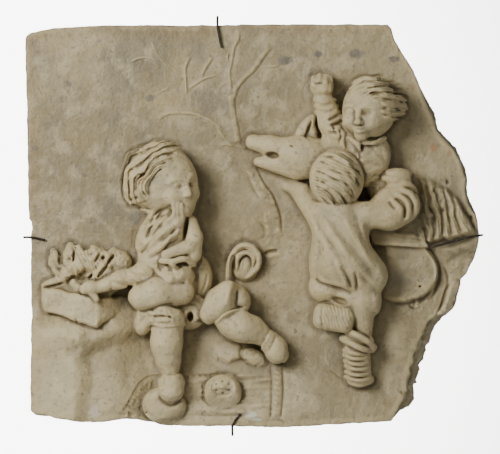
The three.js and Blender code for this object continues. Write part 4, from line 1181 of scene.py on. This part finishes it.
# ---------------------------------------------------------------- mat and drum
def mat_and_drum(b):
    """The woven mat at the lower rim, with a small drum on it."""
    X, Z = b.X, b.Z
    area = smoothstep(-133, -128, Z) * smoothstep(-102.6, -105, Z) * smoothstep(-52, -46, X)
    area = area * smoothstep(21.5, 19.5, X)
    weave = 0.4 * np.sin(2 * np.pi * (Z + 1.5 * N2(X, Z, 14)) / 4.6) * (0.6 + N1(X, Z, 12))
    b.D += area * (weave + 0.75 * N3.rough(X, Z, 4.5, 3, stretch=3)) * smoothstep(15, 11, X)
    b.lap(
        [(-92, -131.5), (-86, -121), (-79.5, -109.5), (-72, -104.6), (-62, -103.4)][::-1], 3.0,
        -1.3,
    )
    b.stroke([(-90, -131.5), (-83.5, -121), (-77, -111.5), (-70, -107), (-62, -106)], 2.6, -1.2)
    corner = [(-92, -134), (-84, -119), (-74, -107), (-62, -104), (-62, -134)]
    left = smoothstep(2, -2, polygon_distance(X, Z, corner))
    b.D += left * (1.4 * np.abs(N3.rough(X, Z, 4, 2)) - 0.3)
    for t in np.linspace(0, 1, 13):
        x = -91 + 24 * t
        z = -131 + 25.5 * t ** 0.8
        b.stroke([(x - 2.4, z + 1.2), (x + 3.2, z - 1.6)], 0.8, 0.7, taper=0.3)
    b.stroke([(-46, -103.4), (-30, -103.6), (-8, -102.6)], 0.8, 0.9, taper=0.05)
    pits(b, [(x, -104.4) for x in np.arange(-45, -8, 4.2)], (0.8, 0.7), 1.2)
    b.stroke([(13, -97), (13.4, -115), (12.6, -134)], 0.8, 1.1, taper=0.05)
    b.stroke([(20.8, -98), (21.4, -115), (19.8, -134)], 0.9, 1.3, taper=0.05)
    b.stroke([(16.8, -97), (17.2, -115), (16.2, -134)], 2.0, -1.1, taper=0.05)
    for z in np.arange(-99, -133, -3.6):
        b.stroke([(14.6, z), (19.4, z - 1.6)], 0.7, 0.8, taper=0.3)
    b.commit()
    # drum: a short round box, its top tipped to the viewer
    rot = turned(0, 37, 0)
    c = np.array([-20.6, -115.6, 13.0])

    def drum(x, z, h):
        p = [x - c[0], z - c[1], h - c[2]]
        q = own_axes(rot, p)
        # the drum's axis is its own out direction
        r = np.sqrt(q[0] ** 2 + q[1] ** 2)
        side = r - (12.4 + 0.7 * np.cos(q[2] * 0.3))
        return soft_max(side, np.abs(q[2]) - 6.2, 3.2)
    b.add((c - 17, c + 17, drum), k=0.9)
    b.add(egg((-20.3, -121, 6), (12.6, 8.5, 9)), k=1.5)
    # the sunk field of its top, with a knob and a ring of holes
    ex = np.hypot((X + 20.6) / 8.6, (Z + 111.8) / 6.9)
    b.D += 1.3 * smoothstep(1.0, 0.84, ex) - 1.6 * np.exp(-(ex / 0.2) ** 2)
    turns = [math.radians(turn + 30) for turn in range(0, 360, 60)]
    ring = [(-20.6 + 5.2 * math.cos(a), -111.8 + 4.1 * math.sin(a)) for a in turns]
    pits(b, ring, (0.8, 0.7), 1.6)
    b.commit()
    pits(b, [(-34.4, z) for z in (-112, -116, -120)], (0.8, 0.9), 1.6)
    b.stroke([(-4, -133.5), (4, -132), (12, -134)], 2.0, -1.3)
    b.stroke([(-45, -131.5), (-20, -132), (0, -131.5)], 1.2, 0.9)
    b.commit()


def broken_edge(b):
    """The slab's rough sides: worn and chipped, and slanted back where the stone broke off."""
    edge = polygon_distance(b.X, b.Z, OUTLINE)
    rim = np.abs(edge) < 12
    x, z = (np.broadcast_to(a, edge.shape)[rim] for a in (b.X, b.Z))
    lower = 7.0 * smoothstep(96, 106, x) * smoothstep(-56, -68, z)
    upper = 2.2 * smoothstep(112, 124, x) * smoothstep(2, 12, z)
    torn = smoothstep(0.5, 5, lower + upper)
    for layer, h in enumerate(b.h):
        front = smoothstep(-20, -1, h)
        chips = np.abs(N2.rough(x + 0.7 * h, z - 0.6 * h, 13, 3))
        grit = N3.rough(x - 0.5 * h, z + 0.8 * h, 4, 2)
        inset = (lower + upper) * front + (0.9 + 1.5 * torn) * chips + (0.15 + 0.9 * torn) * (grit + 1)
        cell = b.f[layer]
        cell[rim] = soft_max(cell[rim], (edge[rim] + inset).astype(np.float32), 1.6)
        cell[~rim] = np.maximum(cell[~rim], edge[~rim])


def build():
    """The whole carving. Forms cover what was cut before them, so their order matters."""
    b = Block()
    b.start(ground(b))
    fur_and_bench(b)
    trees(b)
    rider(b)
    pig(b)
    fire(b)
    curled_cloth(b)
    b.commit()
    mat_and_drum(b)
    stones(b)
    seated_child(b)
    seated_legs(b)
    front_child(b)
    broken_edge(b)
    b.f = np.maximum(b.f, (-THICK - b.h)[:, None, None].astype(np.float32))
    return b


# ------------------------------------------------------------------ mesh
def surface_net(block):
    """A closed quad mesh of the zero level: one point per crossed cell, one quad per crossed edge."""
    f = block.f
    inside = f < 0
    count = np.zeros(tuple(n - 1 for n in f.shape), np.int8)
    corners = [(i, j, k) for i in (0, 1) for j in (0, 1) for k in (0, 1)]

    def part(a, corner):
        return a[tuple(slice(c, n - 1 + c) for c, n in zip(corner, a.shape))]

    for corner in corners:
        count += part(inside, corner)
    cells = np.argwhere((count > 0) & (count < 8))
    index = -np.ones(count.shape, np.int64)
    index[tuple(cells.T)] = np.arange(len(cells))
    axes = (block.h, block.z, block.x)
    total = np.zeros((len(cells), 3))
    hits = np.zeros(len(cells))
    for corner in corners:
        for axis in range(3):
            if corner[axis]:
                continue
            far = list(corner)
            far[axis] = 1
            a = tuple((cells + corner).T)
            b = tuple((cells + far).T)
            fa, fb = f[a], f[b]
            crossed = (fa < 0) != (fb < 0)
            share = np.where(crossed, fa / np.where(crossed, fa - fb, 1), 0)
            place = np.stack([axes[n][a[n]] for n in range(3)], 1)
            place[:, axis] += share * (axes[axis][b[axis]] - place[:, axis])
            total += np.where(crossed[:, None], place, 0)
            hits += crossed
    points = total / hits[:, None]
    quads = []
    for axis in range(3):
        u, w = [n for n in range(3) if n != axis]
        lo = [slice(None)] * 3
        hi = [slice(None)] * 3
        lo[axis] = slice(0, -1)
        hi[axis] = slice(1, None)
        change = inside[tuple(lo)] != inside[tuple(hi)]
        at = np.argwhere(change)
        keep = (at[:, u] > 0) & (at[:, w] > 0)
        keep &= (at[:, u] < f.shape[u] - 1) & (at[:, w] < f.shape[w] - 1)
        at = at[keep]
        ring = []
        for du, dw in ((1, 1), (0, 1), (0, 0), (1, 0)):
            c = at.copy()
            c[:, u] -= du
            c[:, w] -= dw
            ring.append(index[tuple(c.T)])
        quad = np.stack(ring, 1)
        flip = inside[tuple(at.T)] != (axis == 1)
        quad[flip] = quad[flip][:, ::-1]
        quads.append(quad)
    return points, np.vstack(quads)


def marble_slab(block):
    """The carved slab as one closed mesh, thinned to MOST_TRIANGLES."""
    points, quads = surface_net(block)
    co = np.stack([points[:, 2], -(THICK + points[:, 0]), points[:, 1]], 1) * MM
    mesh = bpy.data.meshes.new("relief_slab_carved")
    mesh.vertices.add(len(co))
    mesh.vertices.foreach_set("co", co.astype(np.float32).ravel())
    mesh.loops.add(quads.size)
    mesh.loops.foreach_set("vertex_index", quads.astype(np.int32).ravel())
    mesh.polygons.add(len(quads))
    mesh.polygons.foreach_set("loop_start", np.arange(0, quads.size, 4, dtype=np.int32))
    mesh.update(calc_edges=True)
    mesh.validate()
    slab = bpy.data.objects.new("relief_slab_carved", mesh)
    bpy.context.scene.collection.objects.link(slab)
    thin = slab.modifiers.new("thin", "DECIMATE")
    thin.ratio = MOST_TRIANGLES / (2 * len(quads))
    graph = bpy.context.evaluated_depsgraph_get()
    thinned = bpy.data.meshes.new_from_object(slab.evaluated_get(graph))
    slab.modifiers.clear()
    slab.data = thinned
    bpy.data.meshes.remove(mesh)
    for point in thinned.vertices:
        point.co.y = min(point.co.y, 0.0)
    thinned.name = "relief_slab_carved"
    thinned.shade_smooth()
    return slab


def blurred(height, reach):
    """Three passes of a box mean, in cells."""
    for _ in range(3):
        for axis in (0, 1):
            padded = np.concatenate([np.repeat(height.take([0], axis), reach + 1, axis), height,
                                     np.repeat(height.take([-1], axis), reach, axis)], axis)
            run = padded.cumsum(axis)
            n = height.shape[axis]
            height = (run.take(range(2 * reach + 1, 2 * reach + 1 + n), axis)
                      - run.take(range(0, n), axis)) / (2 * reach + 1)
    return height


def sampled(block, values, x, z):
    """The values of a map of the face at any places, blended between its cells."""
    u = np.clip((x - block.x[0]) / VOXEL, 0, len(block.x) - 1.001)
    w = np.clip((z - block.z[0]) / VOXEL, 0, len(block.z) - 1.001)
    i, j = u.astype(int), w.astype(int)
    fu, fw = u - i, w - j
    return ((values[j, i] * (1 - fu) + values[j, i + 1] * fu) * (1 - fw)
            + (values[j + 1, i] * (1 - fu) + values[j + 1, i + 1] * fu) * fw)


def mark_hollows(slab, block):
    """Keeps three measures on the points, for the material: how far each lies below the stone
    around it, which the material paints dark as dirt and painted shade, how near it is to the
    torn lower right side, and how far it stands out, less to the right, where the figures'
    paler tone fades as painted shade."""
    mesh = slab.data
    co = np.zeros(len(mesh.vertices) * 3, np.float32)
    mesh.vertices.foreach_get("co", co)
    co = co.reshape(-1, 3) / MM
    x, z, out = co[:, 0], co[:, 2], -co[:, 1] - THICK
    height = block.front()
    height = np.where(np.isnan(height), 0, height)
    hollow = np.zeros(len(x))
    for reach, weight in ((2, 1.3), (5, 0.5), (12, 0.15)):
        below = sampled(block, blurred(height, reach), x, z) - out
        hollow += weight * np.clip(below / (reach * 0.9), -0.6, 0.6)
    # the foot of a high figure gets less of the dirt and painted shade
    hollow *= 1 - 0.6 * smoothstep(2, 5, below)
    inward = -polygon_distance(x, z, OUTLINE)
    lower_right = smoothstep(98, 112, x) * smoothstep(-14, -34, z)
    torn = smoothstep(11, 2, inward) * lower_right * smoothstep(-23, -18, out)
    # figures get a paler cream tone; its fade to the right is painted shade where the light falls off
    figure_with_painted_falloff = smoothstep(4, 15, out) * (1 - 0.5 * smoothstep(20, 60, x))
    for name, values in (("hollow", np.clip(hollow, -1, 1.5)), ("torn", torn), ("figure_with_painted_falloff", figure_with_painted_falloff)):
        attribute = mesh.attributes.new(name, "FLOAT", "POINT")
        attribute.data.foreach_set("value", values.astype(np.float32))


# ------------------------------------------------------------------ materials
class Nodes:
    """Short calls for building a node tree."""

    def __init__(self, material):
        material.use_nodes = True
        self.tree = material.node_tree
        self.tree.nodes.clear()

    def feed(self, socket, value):
        """Links a socket to another, or sets it to a constant."""
        if isinstance(value, bpy.types.NodeSocket):
            self.tree.links.new(value, socket)
        else:
            socket.default_value = value

    def node(self, kind, **inputs):
        made = self.tree.nodes.new(kind)
        for name, value in inputs.items():
            self.feed(made.inputs[name.replace("_", " ")], value)
        return made

    def math(self, kind, a, b=0.0):
        made = self.tree.nodes.new("ShaderNodeMath")
        made.operation = kind
        for socket, value in zip(made.inputs, (a, b)):
            self.feed(socket, value)
        return made.outputs[0]

    def times(self, a, b):
        return self.math("MULTIPLY", a, b)

    def noise(self, where, scale, detail=4.0, rough=0.55):
        return self.node("ShaderNodeTexNoise", Vector=where, Scale=scale, Detail=detail,
                         Roughness=rough).outputs["Fac"]

    def kept(self, name):
        """A measure kept on the points of the mesh."""
        made = self.node("ShaderNodeAttribute")
        made.attribute_name = name
        return made.outputs["Fac"]

    def step(self, value, low, high):
        """0 below low, 1 above high, smooth between."""
        made = self.node("ShaderNodeMapRange", Value=value)
        made.interpolation_type = "SMOOTHSTEP"
        made.inputs["From Min"].default_value = low
        made.inputs["From Max"].default_value = high
        return made.outputs[0]

    def mix(self, share, a, b):
        """Colour a turned into colour b by a share from 0 to 1."""
        made = self.tree.nodes.new("ShaderNodeMix")
        made.data_type = "RGBA"
        share_in, a_in, b_in = 0, 6, 7  # the sockets that a colour mix uses
        colour_out = 2
        for place, value in ((share_in, share), (a_in, a), (b_in, b)):
            self.feed(made.inputs[place], value)
        return made.outputs[colour_out]

    def finish(self, shader):
        out = self.tree.nodes.new("ShaderNodeOutputMaterial")
        self.tree.links.new(shader.outputs[0], out.inputs["Surface"])


def rgb(red, green, blue):
    return (red, green, blue, 1.0)


# soft round spots: across, up, radius across, radius up (mm), strength
STAINS = [
    (-129, 100, 2.3, 2.3, 0.7), (-71.3, 90, 3.6, 2.8, 0.7), (22.8, 116, 5.2, 2.8, 0.8),
    (46, 121, 3.0, 2.2, 0.85), (73, 121, 5.6, 3.2, 0.75), (99, 117, 4.2, 2.0, 0.8),
    (24, 103, 3.6, 1.8, 0.35), (-117, 36, 2.0, 1.6, 0.5), (-152, 55, 2.4, 1.8, 0.5),
    (-107, 130, 2.2, 1.6, 0.5), (-82, 6, 4.2, 5.0, 0.6),
]
RUST = [
    (127, 55, 2.2, 3.4, 0.6), (138, 51, 1.8, 2.6, 0.5), (-77, 32.5, 2.0, 3.2, 0.4),
    (112, 98, 1.6, 3.0, 0.4),
]
FRESH = [
    (-1, -131.5, 4.5, 2.0, 0.7), (3.5, -134.5, 3.5, 1.4, 0.8), (-110, -129, 3.0, 5.0, 0.3),
    (44, 66, 2.0, 1.0, 0.3),
]
SPOT_SHIFT = 0.0036  # metres, the most that noise shifts the rim of a spot
STONE_DARK = rgb(0.3, 0.243, 0.128)
STONE_PALE = rgb(0.455, 0.37, 0.2)
GREY_PATCH = rgb(0.24, 0.205, 0.125)
CREAM_MOTTLE = rgb(0.54, 0.45, 0.26)
OCHRE = rgb(0.41, 0.299, 0.119)
FIGURE_PALE = rgb(0.84, 0.705, 0.41)
WORN = rgb(0.66, 0.541, 0.288)
BROKEN = rgb(0.72, 0.627, 0.374)
# dark brown for the hollows: part dirt, part painted shade where shadow falls in them
DIRT_AND_PAINTED_SHADE = rgb(0.125, 0.0902, 0.0396)
BROWN_RIM = rgb(0.3, 0.204, 0.0828)
STAIN_GREY = rgb(0.17, 0.15, 0.12)
RUST_RED = rgb(0.42, 0.2, 0.07)
FRESH_WHITE = rgb(0.8, 0.76, 0.66)
SPECK = rgb(0.2, 0.17, 0.125)
PIT = rgb(0.16, 0.13, 0.09)


def stained(n, colour, where, spots, tint):
    """Lays soft round spots of one tint on the colour."""
    bent = n.node("ShaderNodeTexNoise", Vector=where, Scale=230.0, Detail=2.0)
    shifted = n.node("ShaderNodeVectorMath")
    shifted.operation = "MULTIPLY_ADD"
    n.tree.links.new(bent.outputs["Color"], shifted.inputs[0])
    shifted.inputs[1].default_value = (SPOT_SHIFT,) * 3
    n.tree.links.new(where, shifted.inputs[2])
    parts = n.node("ShaderNodeSeparateXYZ", Vector=shifted.outputs[0])
    # the back has no spots
    in_front = n.step(parts.outputs["Y"], -0.004, -0.014)
    for x, z, rx, rz, strength in spots:
        u = n.math("DIVIDE", n.math("SUBTRACT", parts.outputs["X"], x * MM + SPOT_SHIFT / 2), rx * MM)
        w = n.math("DIVIDE", n.math("SUBTRACT", parts.outputs["Z"], z * MM + SPOT_SHIFT / 2), rz * MM)
        far = n.math("ADD", n.times(u, u), n.times(w, w))
        share = n.times(n.step(n.math("SUBTRACT", 1.0, far), -0.5, 0.7), strength)
        share = n.times(share, in_front)
        colour = n.mix(share, colour, tint)
    return colour


def marble():
    """Cloudy beige marble with dirt and painted shade in the hollows, worn places, paler figures
    that fade to painted shade towards the right, stains and a fine tooled grain.
    """
    material = bpy.data.materials.new("weathered_marble")
    n = Nodes(material)
    where = n.node("ShaderNodeTexCoord").outputs["Object"]
    clouds = n.noise(where, 8.0, 6.0)
    patches = n.noise(where, 22.0, 8.0)
    mottle = n.noise(where, 75.0, 6.0)
    specks = n.noise(where, 320.0, 3.0)
    dots = n.noise(where, 150.0, 2.0)
    colour = n.mix(n.step(clouds, 0.38, 0.62), STONE_DARK, STONE_PALE)
    colour = n.mix(n.times(n.step(patches, 0.48, 0.66), 0.75), colour, GREY_PATCH)
    colour = n.mix(n.times(n.step(mottle, 0.48, 0.64), 0.65), colour, CREAM_MOTTLE)
    colour = n.mix(n.times(n.step(n.noise(where, 14.0, 4.0), 0.54, 0.72), 0.55), colour, OCHRE)
    # paler cream figures, fading towards the right as painted shade
    colour = n.mix(n.times(n.kept("figure_with_painted_falloff"), 0.4), colour, FIGURE_PALE)
    # dirt and painted shade in the hollows, and paler worn high places
    depth = n.math("ADD", n.kept("hollow"), n.times(n.math("SUBTRACT", mottle, 0.5), 0.25))
    colour = n.mix(n.times(n.step(depth, 0.08, 0.75), 0.8), colour, DIRT_AND_PAINTED_SHADE)
    worn = n.step(n.times(depth, -1.0), 0.02, 0.45)
    colour = n.mix(n.times(worn, 0.55), colour, WORN)
    # the top and left rims are browner
    parts = n.node("ShaderNodeSeparateXYZ", Vector=where)
    uneven = n.times(n.math("SUBTRACT", patches, 0.5), 0.03)
    height = n.math("ADD", parts.outputs["Z"], uneven)
    left = n.math("ADD", parts.outputs["X"], uneven)
    rim = n.math("ADD", n.step(height, 0.128, 0.142), n.step(left, -0.148, -0.158))
    colour = n.mix(n.times(n.math("MINIMUM", rim, 1.0), 0.45), colour, BROWN_RIM)
    torn = n.times(n.kept("torn"), n.step(mottle, 0.4, 0.6))
    colour = n.mix(n.times(torn, 0.6), colour, BROKEN)
    for spots, tint in ((STAINS, STAIN_GREY), (RUST, RUST_RED), (FRESH, FRESH_WHITE)):
        colour = stained(n, colour, where, spots, tint)
    colour = n.mix(n.times(n.step(specks, 0.55, 0.72), 0.5), colour, SPECK)
    colour = n.mix(n.times(n.step(dots, 0.68, 0.76), 0.6), colour, PIT)
    fine = n.node("ShaderNodeBump", Strength=0.5, Distance=0.0004, Height=n.noise(where, 900.0, 4.0))
    tooled = n.node("ShaderNodeBump", Strength=0.8, Distance=0.002, Height=n.noise(where, 190.0, 5.0),
                    Normal=fine.outputs[0])
    shader = n.node("ShaderNodeBsdfPrincipled", Base_Color=colour, Roughness=0.55,
                    Normal=tooled.outputs[0])
    shader.inputs["Subsurface Weight"].default_value = 0.04
    shader.inputs["Subsurface Radius"].default_value = (0.004, 0.003, 0.002)
    shader.inputs["Subsurface Scale"].default_value = 1.0
    n.finish(shader)
    return material


def wire():
    """Dark wire, worn in places."""
    material = bpy.data.materials.new("dark_wire")
    n = Nodes(material)
    where = n.node("ShaderNodeTexCoord").outputs["Object"]
    worn = n.step(n.noise(where, 300.0, 4.0), 0.45, 0.7)
    colour = n.mix(worn, rgb(0.035, 0.028, 0.022), rgb(0.10, 0.08, 0.06))
    shader = n.node("ShaderNodeBsdfPrincipled", Base_Color=colour, Metallic=0.7, Roughness=0.45)
    n.finish(shader)
    return material


POOL_ACROSS = -0.6  # metres; the painted pool of light that the far wall gives off lies to the left, so the wall is darker to the right as painted shade
POOL_FADE = (1.75, 0.5)  # metres from its middle to its rim and to its full light
POOL_GLOW = 7.5
WALL_GLOW = 0.06


def pale_wall():
    """Matt pale paint with a little light of its own, and a bright painted pool of light glowing
    from the far wall, fading to painted shade on the right.
    """
    material = bpy.data.materials.new("pale_studio")
    n = Nodes(material)
    parts = n.node("ShaderNodeSeparateXYZ", Vector=n.node("ShaderNodeTexCoord").outputs["Object"])
    across = n.math("SUBTRACT", parts.outputs["X"], POOL_ACROSS)
    far = n.math("SQRT", n.math("ADD", n.times(across, across),
                                n.times(parts.outputs["Z"], parts.outputs["Z"])))
    pool = n.times(n.step(far, *POOL_FADE), n.step(parts.outputs["Y"], 2.0, 3.3))
    shader = n.node("ShaderNodeBsdfPrincipled", Roughness=0.9)
    shader.inputs["Base Color"].default_value = rgb(0.6, 0.6, 0.59)
    shader.inputs["Emission Color"].default_value = rgb(1.0, 0.995, 0.985)
    glow = n.math("ADD", n.times(pool, POOL_GLOW), WALL_GLOW)
    n.tree.links.new(glow, shader.inputs["Emission Strength"])
    n.finish(shader)
    return material


# ------------------------------------------------------------------ studio
def sweep():
    """A pale room: a floor that curves up into the far wall, and plain walls on the other sides."""
    half = 5.0
    front = -5.0
    far = 3.6
    top = 5.0
    floor = -0.9
    radius = 1.2
    bends = 12
    profile = [(front, top), (front, floor)]
    for step in range(bends + 1):
        angle = math.radians(90 * step / bends)
        y = far - radius + radius * math.sin(angle)
        z = floor + radius - radius * math.cos(angle)
        profile.append((y, z))
    profile.append((far, top))
    points = [(x, y, z) for y, z in profile for x in (-half, half)]
    faces = [(2 * i, 2 * i + 1, 2 * i + 3, 2 * i + 2) for i in range(len(profile) - 1)]
    n = len(points)
    faces += [tuple(range(0, n, 2)), tuple(range(1, n, 2)), (0, 1, n - 1, n - 2)]
    mesh = bpy.data.meshes.new("studio_room")
    mesh.from_pydata(points, [], faces)
    mesh.materials.append(pale_wall())
    made = bpy.data.objects.new("studio_room", mesh)
    bpy.context.scene.collection.objects.link(made)


def lamp(name, place, target, size, power):
    """A round soft light, in metres and watts, that points at its target."""
    light = bpy.data.lights.new(name, "AREA")
    light.shape = "DISK"
    light.size = size
    light.energy = power
    made = bpy.data.objects.new(name, light)
    made.location = place
    aim = Vector([t - p for t, p in zip(target, place)])
    made.rotation_mode = "QUATERNION"
    made.rotation_quaternion = aim.to_track_quat("-Z", "Y")
    bpy.context.scene.collection.objects.link(made)


def studio():
    """The raking light from the left shapes the carving; the rest only fills its shadows."""
    sweep()
    lamp("key_light", (-0.63, -0.93, 0.34), (0.02, 0, 0), 0.5, 12.5)
    lamp("fill_light", (0.6, -2.6, 0.9), (0, 0, 0), 1.4, 0.3)
    world = bpy.data.worlds.new("studio_world")
    world.use_nodes = True
    world.node_tree.nodes["Background"].inputs["Color"].default_value = rgb(0.93, 0.94, 0.95)
    world.node_tree.nodes["Background"].inputs["Strength"].default_value = 0.05
    bpy.context.scene.world = world


def camera():
    """Square on to the carving, far off, with the whole slab in the frame."""
    distance = 3.2
    width = 0.350  # of what the frame shows at the plain ground
    across = -0.00175
    up = -0.00035
    data = bpy.data.cameras.new("camera")
    data.sensor_width = 36.0
    data.lens = data.sensor_width * distance / width
    data.clip_end = 100.0
    made = bpy.data.objects.new("camera", data)
    made.location = (across, -THICK * MM - distance, up)
    made.rotation_euler = (math.radians(90), 0, 0)
    bpy.context.scene.collection.objects.link(made)
    bpy.context.scene.camera = made


# ------------------------------------------------------------------ the object
block = build()
slab = marble_slab(block)
mark_hollows(slab, block)
slab.data.materials.clear()
slab.data.materials.append(marble())
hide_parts("relief_slab")
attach(slab, "root")

wire_material = wire()
for name in ("clip_top", "clip_left", "clip_right", "clip_bottom"):
    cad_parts[name].data.materials.clear()
    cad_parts[name].data.materials.append(wire_material)

camera()
studio()
